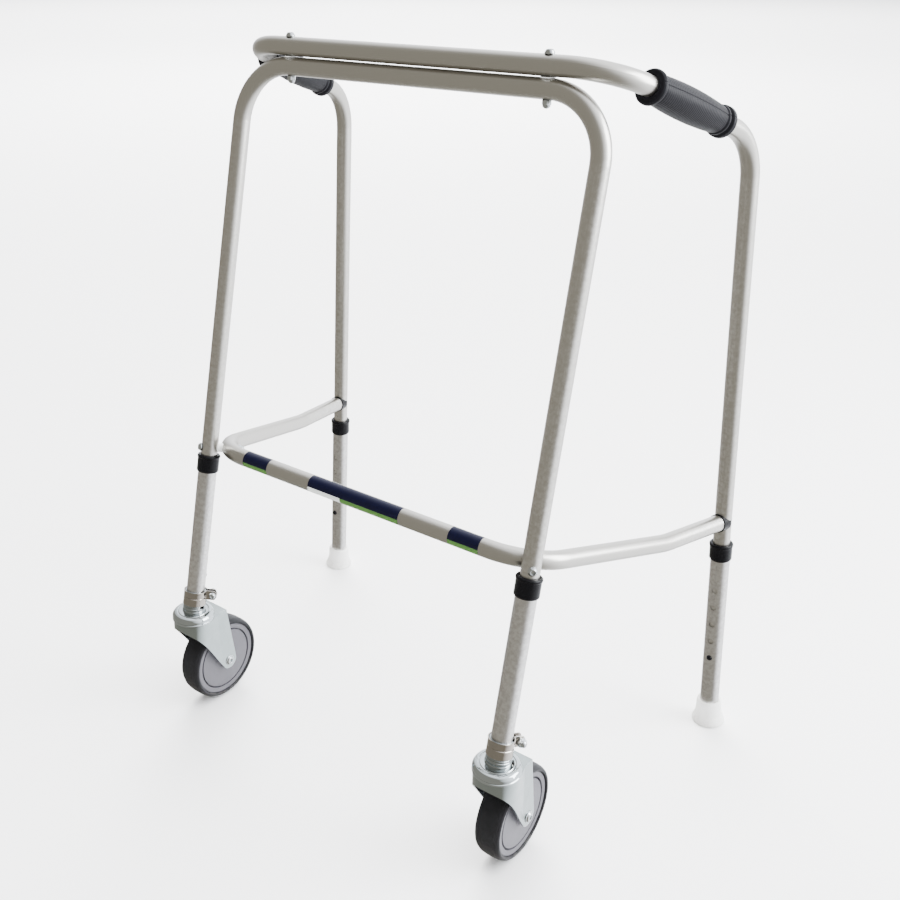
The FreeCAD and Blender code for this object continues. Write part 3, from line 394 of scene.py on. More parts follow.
def make_dust_group():
    """Pale dust that thins out above the floor, on the wheels and feet."""
    group, into, out = new_group(
        "floor_dust",
        {
            "Color": (0.1, 0.1, 0.1, 1), "Dust Color": (0.45, 0.43, 0.4, 1), "Top": 0.05,
            "Amount": 0.3, "Roughness": 0.5,
        },
        ["Color", "Roughness"],
    )
    place = add(group, "ShaderNodeTexCoord").outputs["Object"]
    parts = add(group, "ShaderNodeSeparateXYZ")
    wire(group, place, parts.inputs[0])
    low = fit_range(group, parts.outputs["Z"], into.outputs["Top"], 0.0)
    spots = fit_range(group, noise(group, place, 140.0, detail=6.0, roughness=0.65), 0.42, 0.7)
    mask = times(group, times(group, low, spots), into.outputs["Amount"], True)
    dusty = mix_colour(group, mask, into.outputs["Color"], into.outputs["Dust Color"])
    wire(group, dusty, out.inputs["Color"])
    added = times(group, mask, 0.4)
    rougher = math_node(group, "ADD", into.outputs["Roughness"], added, clamp=True)
    wire(group, rougher, out.inputs["Roughness"])
    return group


MOTTLE = make_mottle_group()
DRAWN = make_drawn_group()
EDGE = make_edge_group()
DUST = make_dust_group()


# ---- Materials ----


def use_group(tree, group, **values):
    """Places a group. Values are given by socket name, with _ for a space."""
    node = add(tree, "ShaderNodeGroup", node_tree=group)
    for key, value in values.items():
        wire(tree, value, node.inputs[key.replace("_", " ")])
    return node


def rgba(red, green, blue):
    return (red, green, blue, 1.0)


def bump(tree, height, strength, distance):
    node = add(tree, "ShaderNodeBump")
    wire(tree, height, node.inputs["Height"])
    node.inputs["Strength"].default_value = strength
    node.inputs["Distance"].default_value = distance
    return node


def base_material(name, **constants):
    """A material with its Principled shader, on which plain values are set by socket name."""
    material = bpy.data.materials.new(name)
    material.use_nodes = True
    tree = material.node_tree
    shader = tree.nodes["Principled BSDF"]
    for key, value in constants.items():
        shader.inputs[key.replace("_", " ")].default_value = value
    return material, tree, shader


def feed(tree, shader, colour, roughness, normal=None):
    wire(tree, colour, shader.inputs["Base Color"])
    wire(tree, roughness, shader.inputs["Roughness"])
    if normal is not None:
        wire(tree, normal, shader.inputs["Normal"])


def satin_aluminium(name, stretch, colour=rgba(0.5, 0.487, 0.452), roughness=0.32):
    """Anodised tube: a soft sheen with faint drawing lines along it."""
    line_colour_share, line_roughness_share = 0.2, 0.12
    duller = rgba(colour[0] * 0.86, colour[1] * 0.86, colour[2] * 0.85)
    line_colour = rgba(*(part * 0.9 for part in colour[:3]))
    material, tree, shader = base_material(name, Metallic=1.0)
    lines = use_group(tree, DRAWN, Stretch=stretch, Scale=900.0, Contrast=1.5)
    mottle = use_group(
        tree, MOTTLE, Color=colour, Second_Color=duller, Broad_Scale=9.0, Grain_Scale=2600.0,
        Amount=0.12, Roughness=roughness, Roughness_Change=0.03,
    )
    line_share = times(tree, lines.outputs["Mask"], line_colour_share)
    lined = mix_colour(tree, line_share, mottle.outputs["Color"], line_colour)
    worn = use_group(tree, EDGE, Color=lined, Worn_Color=rgba(0.9, 0.9, 0.88), Amount=0.4)
    centred = math_node(tree, "SUBTRACT", lines.outputs["Mask"], 0.5)
    streak = times(tree, centred, line_roughness_share)
    streaked = math_node(tree, "ADD", mottle.outputs["Roughness"], streak, clamp=True)
    relief = bump(tree, lines.outputs["Height"], 0.05, 0.12 * MM)
    grain = bump(tree, mottle.outputs["Height"], 0.03, 0.06 * MM)
    wire(tree, relief.outputs[0], grain.inputs["Normal"])
    feed(tree, shader, worn.outputs["Color"], streaked, grain.outputs[0])
    return material


def plated_steel(name, colour, second, roughness, change=0.1, relief=0.08):
    """Zinc, chrome or stainless steel, by its colours and how matt it is."""
    rubbed = rgba(0.86, 0.88, 0.88)
    material, tree, shader = base_material(name, Metallic=1.0)
    mottle = use_group(
        tree, MOTTLE, Color=colour, Second_Color=second, Broad_Scale=60.0, Grain_Scale=1500.0,
        Amount=0.8, Roughness=roughness, Roughness_Change=change,
    )
    worn = use_group(tree, EDGE, Color=mottle.outputs["Color"], Worn_Color=rubbed, Amount=0.4)
    grain = bump(tree, mottle.outputs["Height"], relief, 0.08 * MM)
    feed(tree, shader, worn.outputs["Color"], mottle.outputs["Roughness"], grain.outputs[0])
    return material


def moulded(
    name, colour, second, roughness, worn, wear=0.3, grain=1600.0, relief=0.15, dust=0.0,
    dust_top=0.06, **constants,
):
    """Plastic or rubber with a fine moulded grain, rubbed edges, and dust near the floor."""
    material, tree, shader = base_material(name, **constants)
    mottle = use_group(
        tree, MOTTLE, Color=colour, Second_Color=second, Broad_Scale=35.0, Grain_Scale=grain,
        Amount=0.9, Roughness=roughness, Roughness_Change=0.14,
    )
    rubbed = use_group(tree, EDGE, Color=mottle.outputs["Color"], Worn_Color=worn, Amount=wear)
    dusty = use_group(
        tree, DUST, Color=rubbed.outputs["Color"], Top=dust_top, Amount=dust,
        Roughness=mottle.outputs["Roughness"],
    )
    skin = bump(tree, mottle.outputs["Height"], relief, 0.12 * MM)
    feed(tree, shader, dusty.outputs["Color"], dusty.outputs["Roughness"], skin.outputs[0])
    return material


def label_print(name, blocks):
    """Laminated print: a dark blue field over a green foot stripe.

    blocks are (from, to) shares of the label's length where the stripe is pale instead.
    """
    green, pale, stripe_height = rgba(0.045, 0.115, 0.022), rgba(0.5, 0.52, 0.5), 0.27
    material, tree, shader = base_material(name, Roughness=0.3, Specular_IOR_Level=0.15)
    uv = add(tree, "ShaderNodeSeparateXYZ")
    wire(tree, add(tree, "ShaderNodeTexCoord").outputs["UV"], uv.inputs[0])
    across, around = uv.outputs["X"], uv.outputs["Y"]
    mottle = use_group(
        tree, MOTTLE, Color=rgba(0.0025, 0.0028, 0.014), Second_Color=rgba(0.0018, 0.002, 0.01),
        Broad_Scale=30.0, Grain_Scale=1200.0, Amount=0.7, Roughness=0.3, Roughness_Change=0.08,
    )
    foot = math_node(tree, "LESS_THAN", around, stripe_height)
    colour = mix_colour(tree, foot, mottle.outputs["Color"], green)
    for start, end in blocks:
        beyond = math_node(tree, "GREATER_THAN", across, start)
        inside = times(tree, beyond, math_node(tree, "LESS_THAN", across, end))
        colour = mix_colour(tree, times(tree, inside, foot), colour, pale)
    feed(tree, shader, colour, mottle.outputs["Roughness"])
    return material


ALUMINIUM_LEG = satin_aluminium("satin_aluminium_legs", (1.0, 1.0, 0.02))
ALUMINIUM_BAR = satin_aluminium("satin_aluminium_bars", (0.02, 1.0, 1.0))
ALUMINIUM_SLEEVE = satin_aluminium(
    "satin_aluminium_sleeves", (1.0, 1.0, 0.02), colour=rgba(0.55, 0.54, 0.525), roughness=0.34
)
ZINC = plated_steel("bright_zinc", rgba(0.36, 0.405, 0.4), rgba(0.3, 0.34, 0.34), 0.19)
BOLT_STEEL = plated_steel("bolt_steel", rgba(0.52, 0.545, 0.55), rgba(0.42, 0.44, 0.45), 0.14)
CHROME = plated_steel(
    "polished_chrome", rgba(0.46, 0.5, 0.51), rgba(0.4, 0.44, 0.45), 0.05, change=0.06, relief=0.02
)
SOCKET_STEEL = plated_steel("socket_steel", rgba(0.34, 0.37, 0.375), rgba(0.28, 0.305, 0.31), 0.14)
STAINLESS = plated_steel("stainless_band", rgba(0.4, 0.37, 0.33), rgba(0.32, 0.295, 0.265), 0.15)
SPRING = plated_steel("spring_steel", rgba(0.4, 0.4, 0.41), rgba(0.3, 0.3, 0.31), 0.35)
BLACK_PLASTIC = moulded(
    "black_plastic", rgba(0.002, 0.002, 0.0025), rgba(0.004, 0.004, 0.005), 0.26,
    rgba(0.02, 0.02, 0.02), wear=0.1, Specular_IOR_Level=0.12,
)
NYLON = moulded(
    "white_nylon", rgba(0.72, 0.72, 0.7), rgba(0.64, 0.64, 0.62), 0.4, rgba(0.8, 0.8, 0.8)
)
GRIP_RUBBER = moulded(
    "grip_rubber", rgba(0.004, 0.004, 0.0055), rgba(0.008, 0.008, 0.01), 0.42,
    rgba(0.012, 0.012, 0.013), grain=1100.0, relief=0.3, Specular_IOR_Level=0.09,
)
FOOT_RUBBER = moulded(
    "foot_rubber", rgba(0.83, 0.83, 0.81), rgba(0.76, 0.76, 0.74), 0.5, rgba(0.9, 0.9, 0.88),
    dust=0.55, dust_top=0.02,
)
TYRE_RUBBER = moulded(
    "tyre_rubber", rgba(0.009, 0.009, 0.01), rgba(0.015, 0.015, 0.017), 0.45,
    rgba(0.05, 0.05, 0.05), wear=0.2, relief=0.2, dust=0.12, dust_top=0.05, Specular_IOR_Level=0.12,
)
HUB_PLASTIC = moulded(
    "hub_plastic", rgba(0.088, 0.085, 0.097), rgba(0.074, 0.072, 0.082), 0.42,
    rgba(0.2, 0.195, 0.21), dust=0.06, Specular_IOR_Level=0.3,
)
MAIN_PRINT = label_print("main_label_print", [(0.0, 0.37)])
SMALL_PRINT = label_print("small_label_print", [])

# ---- Tubes, and inner pieces whose shape the frame already has ----


def paint(node, material):
    mesh = frame["nodes"][node].data
    mesh.materials.clear()
    mesh.materials.append(material)


def paint_kept_nodes():
    paint("handle_frame", ALUMINIUM_LEG)
    paint("front_arch", ALUMINIUM_LEG)
    paint("brace_tube", ALUMINIUM_BAR)
    paint("brace_end_saddles", BLACK_PLASTIC)
    paint("brace_spacers", NYLON)
    paint("crossbar_spacers", NYLON)
    paint("button_springs", SPRING)
    for end, side in LEGS:
        paint(f"{end}_{side}_lower_tube", ALUMINIUM_SLEEVE)
    for side in SIDES:
        paint(f"{side}_swivel_balls", SPRING)
        paint(f"{side}_wheel_bush", SPRING)
        paint(f"{side}_king_pin", ZINC)
        paint(f"{side}_axle_spacers", ZINC)


# ---- Bolts and nuts ----


# Sizes in millimetres.
FRAME_BOLT = {"head": 11.0, "height": 4.6, "shank": 6.0, "recess": 5.5}
FRAME_NUT = {"flats": 9.5, "height": 5.0, "dome": 4.0, "bore": 3.05}
CLAMP_BOLT = {"head": 10.0, "height": 4.0, "shank": 5.0, "recess": 4.4}
CLAMP_NUT = {"flats": 10.4, "height": 5.5, "dome": 4.4, "bore": 2.55}
# No bolt lies along this direction, so it can say which way the flats face.
FLATS_FACING = Vector((0.3, 0.2, 1))


def button_head(shank, head, height, recess, length):
    """A domed bolt with a hexagon recess, its head above zero and its shank below."""
    depth = height * 0.8
    return filleted([
        (0, -length), (shank / 2 - 0.5, -length), (shank / 2, 0.5 - length), (shank / 2, 0),
        (head / 2, 0, 0.3), (head / 2, height * 0.28, 0.3),
        (head * 0.36, height * 0.86, head * 0.4), (recess / 2 + 0.5, height, 0.2),
        (recess / 2, height - 0.2), (recess / 2, height - depth), (0, height - depth - 0.4),
    ])


def dome_nut(bore, flats, height, dome):
    """A hexagon nut with a round cap, seated at zero."""
    corner = flats / math.cos(math.pi / 6) / 2
    cap = flats * 0.45
    cap_steps = 7
    edge = flats / 2 - 0.2
    outline = [(0, height + 0.6), (bore, height + 0.6), (bore, 0), (edge, 0), (corner, 0.5)]
    outline += [(corner, height - 0.7), (edge, height - 0.1), (cap, height)]
    for i in range(cap_steps + 1):
        turn = math.pi / 2 * i / cap_steps
        outline.append((cap * math.cos(turn), height + 0.4 + (dome - 0.4) * math.sin(turn)))
    return outline


def make_bolt(name, node, sign, body, slot, size):
    """A bolt on its node's line. Returns the seat of its head and the way the head faces."""
    tip, top = bolt_line(node, sign)
    way = (top - tip).normalized()
    seat = top - way * size["height"] * MM
    outline = button_head(length=(seat - tip).length / MM, **size)
    place = place_at(seat, way, FLATS_FACING)
    turned_piece(name, outline, place, BOLT_STEEL, body, node, slot, segments=48)
    return seat, way


def make_nut(name, node, sign, body, slot, size, axis_point, way):
    """A domed nut on a bolt's line. way is the direction from the bolt's tip to its head."""
    points = node_points(node, sign)
    seat_distance = max((Vector(point) - axis_point).dot(way) for point in points)
    place = place_at(axis_point + way * seat_distance, -way, FLATS_FACING)
    flats = (size["flats"], 0.4, size["height"] - 0.3)
    turned_piece(
        name, dome_nut(**size), place, BOLT_STEEL, body, node, slot, segments=48, flats=flats
    )


def make_frame_fasteners():
    slot = "zinc_plated_steel"
    for side, sign in SIDES.items():
        for place in ("crossbar", "brace"):
            seat, way = make_bolt(
                f"{place}_bolt_{side}", f"{place}_bolts", sign, "root", slot, FRAME_BOLT
            )
            make_nut(
                f"{place}_nut_{side}", f"{place}_nuts", sign, "root", slot, FRAME_NUT, seat, way
            )
        make_bolt(f"brace_end_screw_{side}", "brace_end_screws", sign, "root", slot, FRAME_BOLT)


# ---- Hand grips ----


def grip_outline(bore, barrel, front_flange, rear_flange, length):
    """Radii and heights: a wide front flange, a ribbed swelling barrel and two rear rings."""
    rib_pitch, rib_depth, swelling, clearance = 3.1, 0.22, 2.7, 0.01
    flange, neck, rear_start = 7.5, 11.0, length - 19.0
    front = filleted([
        (bore, 0), (front_flange - 1.5, 0, 1.0), (front_flange, 2.2, 1.8),
        (front_flange, flange - 2.0, 2.0), (barrel - 1.6, flange + 0.8, 1.2), (barrel - 1.4, neck),
    ])
    ribs = []
    count = int((rear_start - neck) / rib_pitch)
    for i in range(count):
        for share, drop in ((0.0, 1.0), (0.18, 0.25), (0.36, 0.0), (0.64, 0.0), (0.82, 0.25)):
            height = neck + (i + share) * (rear_start - neck) / count
            swell = math.sin(math.pi * (height - neck) / (rear_start - neck)) ** 0.8
            ribs.append((barrel - 1.4 + swelling * swell - drop * rib_depth, height + clearance))
    rear = filleted([
        (barrel - 1.5, rear_start), (barrel - 1.8, rear_start + 2.5, 0.6),
        (barrel - 0.4, rear_start + 4.0, 0.8), (barrel - 0.4, rear_start + 6.4, 0.8),
        (barrel - 2.0, rear_start + 7.6, 0.5),
        (barrel - 2.0, rear_start + 9.4, 0.5), (rear_flange, rear_start + 11.2, 1.4),
        (rear_flange, length - 2.0, 1.8), (rear_flange - 1.5, length, 0.8), (bore, length),
    ])
    return front + ribs + rear


def make_grips():
    """Rubber grips on the sloping arms, each with a moulding seam along it."""
    bore, barrel, front_flange, rear_flange, length = 11.15, 17.2, 18.9, 18.2, 149.0
    seam_depth, seam_segments, seam_width, seam_floor = 0.7, 120, 1.6, 14.0
    outline = grip_outline(bore, barrel, front_flange, rear_flange, length)
    for side, sign in SIDES.items():
        points = node_points(f"{side}_grip")
        mean = points.mean(0)
        way = Vector(np.linalg.svd(points - mean, full_matrices=False)[2][0])
        way = way if way.y > 0 else -way
        along = points @ np.array(way)
        axis_point = Vector(mean) - way * Vector(mean).dot(way)
        start = axis_point + way * ((along.min() + along.max()) / 2 - length / 2 * MM)
        seam_way = Vector((sign * 0.9, -0.3, 0.42))
        bm = bmesh.new()
        place = place_at(start, way, seam_way)
        turn_into(bm, outline, place, segments=seam_segments, loop=True)
        back = place.inverted()
        for vertex in bm.verts:
            local = back @ vertex.co
            near = abs(math.atan2(local.y, local.x)) < seam_width * math.pi / seam_segments
            if near and local.xy.length > seam_floor * MM:
                local.xy = local.xy * (1 - seam_depth * MM / local.xy.length)
                vertex.co = place @ local
        new_piece(
            f"{side}_grip_rubber", bm, GRIP_RUBBER, "root", f"{side}_grip", sharp=50
        )


# ---- Leg collars, buttons and feet ----


def make_collars():
    """Plastic caps over the tops of the lower tubes, with a wider lip at the upper end."""
    outline = filleted([
        (11.4, 23.5), (12.7, 23.5), (12.7, 2.6), (13.6, 2.6, 0.6), (14.8, 4.2, 2.0),
        (14.8, 22.4, 0.6), (15.5, 23.4, 0.6), (15.5, 25.4, 1.2), (14.2, 27.0, 1.2),
        (11.8, 27.0, 0.3), (11.4, 26.6),
    ])
    half_length = 13.5 * MM
    for end, side in LEGS:
        node = f"{end}_{side}_collar"
        up = leg_up(end, side)
        place = place_at(middle(node) - up * half_length, up)
        turned_piece(
            f"{end}_{side}_collar_cap", outline, place, BLACK_PLASTIC, f"{end}_{side}_leg",
            node, "black_plastic", segments=72, loop=True,
        )


def make_buttons():
    """Round-nosed snap buttons with a flange inside the tube."""
    for end, side in LEGS:
        node = f"{end}_{side}_button"
        press = Vector(JOINTS[f"{node}_press"]["axis"]).normalized()
        points = node_points(node)
        centre = middle(node)
        reach = max((Vector(point) - centre).dot(-press) for point in points)
        nose = centre - press * reach
        length = (max((Vector(point) - centre).dot(press) for point in points) + reach) / MM
        outline = filleted([
            (0, 0), (1.6, 0.0, 0.8), (3.2, 0.9, 1.6), (3.8, 2.4, 1.2), (3.8, length - 1.2),
            (5.0, length - 1.2), (5.0, length), (0, length),
        ])
        turned_piece(
            f"{node}_plunger", outline, place_at(nose, press), BLACK_PLASTIC, node, node,
            "black_plastic", segments=48,
        )


def make_feet():
    """Rubber ferrules turned about the leaning legs and pressed flat where they meet the floor."""
    outline = filleted([
        (0, -6), (21.0, -6), (22.2, 0.6, 0.5), (22.4, 3.4, 1.2), (21.4, 5.4, 2.5),
        (18.6, 12.5, 9.0), (17.4, 22.0, 14.0), (17.0, 33.6, 1.0), (15.9, 36.0, 1.2),
        (12.9, 36.0, 0.3), (12.7, 35.4), (12.7, 8.0), (0, 8.0),
    ])
    for side in SIDES:
        up = leg_up("rear", side)
        bm = bmesh.new()
        turn_into(bm, outline, place_at(leg_point("rear", side, 0.0), up), segments=80)
        for vertex in bm.verts:
            vertex.co.z = max(vertex.co.z, 0.0)
        bmesh.ops.dissolve_degenerate(bm, dist=1e-6, edges=bm.edges)
        new_piece(
            f"{side}_foot_rubber", bm, FOOT_RUBBER, f"rear_{side}_leg", f"rear_{side}_ferrule",
        )


# ---- Labels on the brace ----


def make_label(name, start_x, end_x, material, node):
    """A thin skin wrapped round the front of the brace."""
    rail = next(mount for mount in frame["record"]["mounts"] if mount["name"] == "brace_rail")
    centre_y, centre_z = rail["pos_m"][1], rail["pos_m"][2]
    inner, thick = 11.12 * MM, 0.24 * MM
    middle_turn, half_wrap = math.radians(35), math.radians(71)
    columns, rows = 24, 30
    bm = bmesh.new()
    uv_layer = bm.loops.layers.uv.new("UVMap")
    grids = []
    for radius in (inner + thick, inner):
        grid = []
        for i in range(columns + 1):
            x = start_x + (end_x - start_x) * i / columns
            line = []
            for j in range(rows + 1):
                turn = middle_turn - half_wrap + 2 * half_wrap * j / rows
                spot = (x, centre_y - radius * math.cos(turn), centre_z + radius * math.sin(turn))
                line.append(bm.verts.new(spot))
            grid.append(line)
        grids.append(grid)

    def face(corners, shares):
        made = bm.faces.new(corners)
        for loop, share in zip(made.loops, shares):
            loop[uv_layer].uv = share

    for grid in grids:
        for i in range(columns):
            for j in range(rows):
                corners = ((i, j), (i + 1, j), (i + 1, j + 1), (i, j + 1))
                face(
                    [grid[column][row] for column, row in corners],
                    [(column / columns, row / rows) for column, row in corners],
                )
    outer, under = grids
    border = [(i, 0) for i in range(columns)] + [(columns, j) for j in range(rows)]
    border += [(i, rows) for i in range(columns, 0, -1)] + [(0, j) for j in range(rows, 0, -1)]
    for (i, j), (k, m) in zip(border, border[1:] + border[:1]):
        here, beyond = (i / columns, j / rows), (k / columns, m / rows)
        face((outer[i][j], outer[k][m], under[k][m], under[i][j]), (here, beyond, beyond, here))
    new_piece(name, bm, material, "root", node)


def make_labels():
    reach = abs(node_points("main_label")[:, 0]).max()
    make_label("main_label_skin", -reach, reach, MAIN_PRINT, "main_label")
    reach = abs(node_points("end_labels")[:, 0]).max()
    length = 42.0 * MM
    make_label("right_label_skin", reach - length, reach, SMALL_PRINT, "end_labels")
    make_label("left_label_skin", -reach, length - reach, SMALL_PRINT, "end_labels")


# ---- Castors ----

# Millimetres, measured from where the swivel axis meets the top of the fork's crown.
CROWN_RADIUS = 28.0
CROWN_BACK = 42.5
CREASE_BACK = 25.0
FORK_HALF_WIDTH = 22.5
FORK_THICK = 2.5
TIP_RADIUS = 13.0
TRAIL = 43.0
AXLE_DROP = 87.5
DOME_RISE = 0.5
SOCKET_RISE = 17.0


def make_swivel_dome(side):
    """The polished cap: a lip at the bottom, a full round, a step and a flat top."""
    outline = filleted([
        (6.1, 12.5), (6.1, 10.3), (20.0, 10.3), (25.6, 7.0), (26.2, 0), (28.4, 0, 0.3),
        (29.2, 0.8, 0.5), (29.2, 2.6, 0.7), (27.9, 3.4, 0.4), (28.9, 4.6, 0.8), (29.0, 7.4, 3.0),
        (26.6, 11.0, 4.5), (22.4, 12.3, 2.0), (21.5, 11.5, 0.4), (20.6, 11.6, 0.4),
        (19.9, 12.5, 0.4), (17.0, 12.5),
    ], steps=6)
    base = swivel_centre(side) + Vector((0, 0, DOME_RISE * MM))
    turned_piece(
        f"{side}_dome_cap", outline, place_at(base, UP), CHROME, f"front_{side}_leg",
        f"{side}_swivel_dome", "chromed_steel", segments=112, loop=True,
    )


def socket_frame(side):
    """A placement at the socket's floor, +Z up the leg's axis and +X towards the ears."""
    up = leg_up("front", side)
    tip, top = bolt_line(f"{side}_clamp_bolt")
    floor = leg_point("front", side, swivel_centre(side).z + SOCKET_RISE * MM)
    bolt_middle = (tip + top) / 2
    out = bolt_middle - floor
    out -= up * out.dot(up)
    across = (top - tip).normalized()
    out -= across * out.dot(across)
    return place_at(floor, up, out)


def make_socket(side):
    """The split socket that the lower tube stands in. Its foot turns level to sit on the cap."""
    place = socket_frame(side)
    height, foot, level_below = 25.9, -5.0, 3.5
    outline = filleted([
        (12.75, height - 0.3), (12.75, 0.2), (6.3, 0.2), (6.3, foot), (15.9, foot),
        (15.9, -2.6, 0.6), (15.1, -1.9, 0.3), (15.1, -1.0, 0.3), (15.5, -0.4, 0.3),
        (15.5, 0.9, 0.4), (14.7, 1.5, 0.3), (14.7, 2.1, 0.2), (15.0, 2.6, 0.2), (15.0, 3.4, 0.3),
        (14.45, 3.9, 0.2), (14.45, height - 0.4, 0.3), (13.9, height, 0.3), (12.95, height, 0.2),
    ])
    bm = bmesh.new()
    turn_into(bm, outline, place, segments=96, loop=True)
    back = place.inverted()
    for vertex in bm.verts:
        local = back @ vertex.co
        share = min(1.0, max(0.0, (local.z / MM - foot) / (level_below - foot)))
        centre = place @ Vector((0, 0, local.z))
        level = Vector((vertex.co.x, vertex.co.y, centre.z))
        vertex.co = level.lerp(vertex.co, share)
    slit = bmesh.new()
    bmesh.ops.create_cube(slit, size=1.0)
    slit_low, slit_high, slit_width, slit_from, slit_to = 1.0, height + 4, 8.0, 3.0, 20.0
    slit_turn = -36.0
    for vertex in slit.verts:
        x = slit_to if vertex.co.x > 0 else slit_from
        z = slit_high if vertex.co.z > 0 else slit_low
        spot = Vector((x, vertex.co.y * slit_width, z))
        spot.rotate(Matrix.Rotation(math.radians(slit_turn), 3, "Z"))
        vertex.co = place @ (spot * MM)
    cutter = linked("slit_cutter", mesh_of("slit_cutter", slit))
    made = baked(
        f"{side}_socket_shell", bm,
        ("BOOLEAN", {"object": cutter, "operation": "DIFFERENCE", "solver": "EXACT"}),
    )
    bpy.data.objects.remove(cutter)
    piece_from_mesh(
        f"{side}_socket_shell", made, SOCKET_STEEL, f"front_{side}_leg",
        f"{side}_castor_socket",
    )


def make_clamp_band(side):
    """A steel band with rolled edges and a pressed groove, its two ends turned out as ears."""
    place = socket_frame(side)
    bolt_tip, bolt_top = bolt_line(f"{side}_clamp_bolt")
    radius, gap, reach, bend, ear_rise = 14.55, 6.0, 30.0, 1.6, 4.5
    groove_depth, groove_rows, edge_roll, edge_row = 0.9, (0.03, 0.1, 0.17), 0.35, 0.9
    lift_height, lift_from, lift_span = 1.2, 0.9, 0.6
    ear_rounding, narrowest_ear = 3.2, 0.25
    band_middle = (place.inverted() @ ((bolt_tip + bolt_top) / 2)).z / MM - ear_rise
    turn_start = math.asin((gap / 2 + bend) / (radius + bend))
    path = []
    ear_steps, bend_steps, ring_steps = 8, 5, 84
    neck_x = math.sqrt((radius + bend) ** 2 - (gap / 2 + bend) ** 2)
    for i in range(ear_steps + 1):
        path.append(((reach + (neck_x - reach) * i / ear_steps), gap / 2, i / ear_steps, True))
    bend_centre = Vector((neck_x, gap / 2 + bend))
    for i in range(1, bend_steps + 1):
        turn = -math.pi / 2 - (math.pi / 2 - turn_start) * i / bend_steps
        spot = bend_centre + Vector((math.cos(turn), math.sin(turn))) * bend
        path.append((spot.x, spot.y, 1.0, False))
    for i in range(1, ring_steps):
        turn = turn_start + (2 * math.pi - 2 * turn_start) * i / ring_steps
        path.append((radius * math.cos(turn), radius * math.sin(turn), 1.0, False))
    one_end = path[: ear_steps + bend_steps + 1]
    path += [(x, -y, share, ear) for x, y, share, ear in one_end[::-1]]
    rows = [-1.0, -0.9, -0.62, -0.3, -0.04, 0.03, 0.1, 0.17, 0.24, 0.5, 0.8, 0.94, 1.0]
    half_ring, half_ear = 10.0, 6.6
    bm = bmesh.new()
    grid = []
    for x, y, share, ear in path:
        line = []
        for row in rows:
            if ear:
                tip_round = math.sqrt(max(0.0, 1 - max(0.0, 1 - share * ear_rounding) ** 2))
                half = half_ear * max(tip_round, narrowest_ear)
                height = band_middle + ear_rise + row * half
            else:
                lift = max(0.0, (lift_from - math.atan2(abs(y), x)) / lift_span) if x > 0 else 0.0
                raised = min(lift, 1.0) * max(0.0, row) * lift_height
                height = band_middle + row * half_ring + raised
            depth = 0.0
            if not ear and math.hypot(x, y) < radius + 0.1:
                depth = -groove_depth if row in groove_rows else 0.0
                depth += edge_roll if abs(row) >= edge_row else 0.0
            scale = 1 + depth / max(math.hypot(x, y), 1)
            line.append(bm.verts.new(place @ (Vector((x * scale, y * scale, height)) * MM)))
        grid.append(line)
    for first, second in zip(grid, grid[1:]):
        for j in range(len(rows) - 1):
            bm.faces.new((first[j], second[j], second[j + 1], first[j + 1]))
    made = baked(f"{side}_clamp_strap", bm, thickened(1.3, 1.0), bevelled(0.25, 2, 50))
    piece_from_mesh(
        f"{side}_clamp_strap", made, STAINLESS, f"front_{side}_leg", f"{side}_clamp_band",
    )


def make_clamp_fasteners(side):
    body, slot = f"front_{side}_leg", "stainless_steel"
    bolt, nut = f"{side}_clamp_bolt", f"{side}_clamp_nut"
    seat, way = make_bolt(f"{side}_clamp_screw", bolt, 0, body, slot, CLAMP_BOLT)
    make_nut(f"{side}_clamp_cap_nut", nut, 0, body, slot, CLAMP_NUT, seat, way)


def fork_side(y_mm, height):
    """Half the fork's width at a distance behind the swivel axis and a height above the crown."""
    crease_spread, hollow, taper_loss = 5.0, 1.7, 0.7
    down = max(0.0, min(1.0, -height / AXLE_DROP))
    crease_at = CREASE_BACK + crease_spread * down
    if y_mm <= 0:
        full = math.sqrt(max(CROWN_RADIUS ** 2 - y_mm ** 2, 0))
    else:
        share = min(y_mm / crease_at, 1.0)
        full = FORK_HALF_WIDTH + (CROWN_RADIUS - FORK_HALF_WIDTH) * (1 - share ** hollow)
    taper = 1 - taper_loss * down
    return min(full, FORK_HALF_WIDTH) + max(full - FORK_HALF_WIDTH, 0) * taper


def fork_columns():
    """Top and bottom points (y, z) of each column of the fork's wall, from front to back."""
    skirt, slope, curve, flare = 9.5, 0.887, 0.01065, 3
    front_steps, side_steps, plate_steps = 18, 14, 12
    front_tangent, back_tangent = math.radians(200), math.radians(366)

    def cut(y_mm):
        run = y_mm + CROWN_RADIUS
        return -skirt - slope * run - curve * run * run

    columns = []
    for i in range(front_steps + 1):
        y_mm = -CROWN_RADIUS * math.cos(math.pi / 2 * i / front_steps)
        columns.append(((y_mm, 0.0), (y_mm, cut(y_mm))))
    tip_y = TRAIL + TIP_RADIUS * math.cos(front_tangent)
    tip_z = TIP_RADIUS * math.sin(front_tangent) - AXLE_DROP
    for i in range(1, side_steps + 1):
        share = i / side_steps
        low_y = tip_y * share
        low_z = cut(low_y) + (tip_z - cut(tip_y)) * share ** flare
        columns.append(((CREASE_BACK * share, 0.0), (low_y, low_z)))
    for i in range(1, plate_steps + 1):
        share = i / plate_steps
        turn = front_tangent + (back_tangent - front_tangent) * share
        low = (TRAIL + TIP_RADIUS * math.cos(turn), TIP_RADIUS * math.sin(turn) - AXLE_DROP)
        columns.append(((CREASE_BACK + (CROWN_BACK - CREASE_BACK) * share, 0.0), low))
    return columns


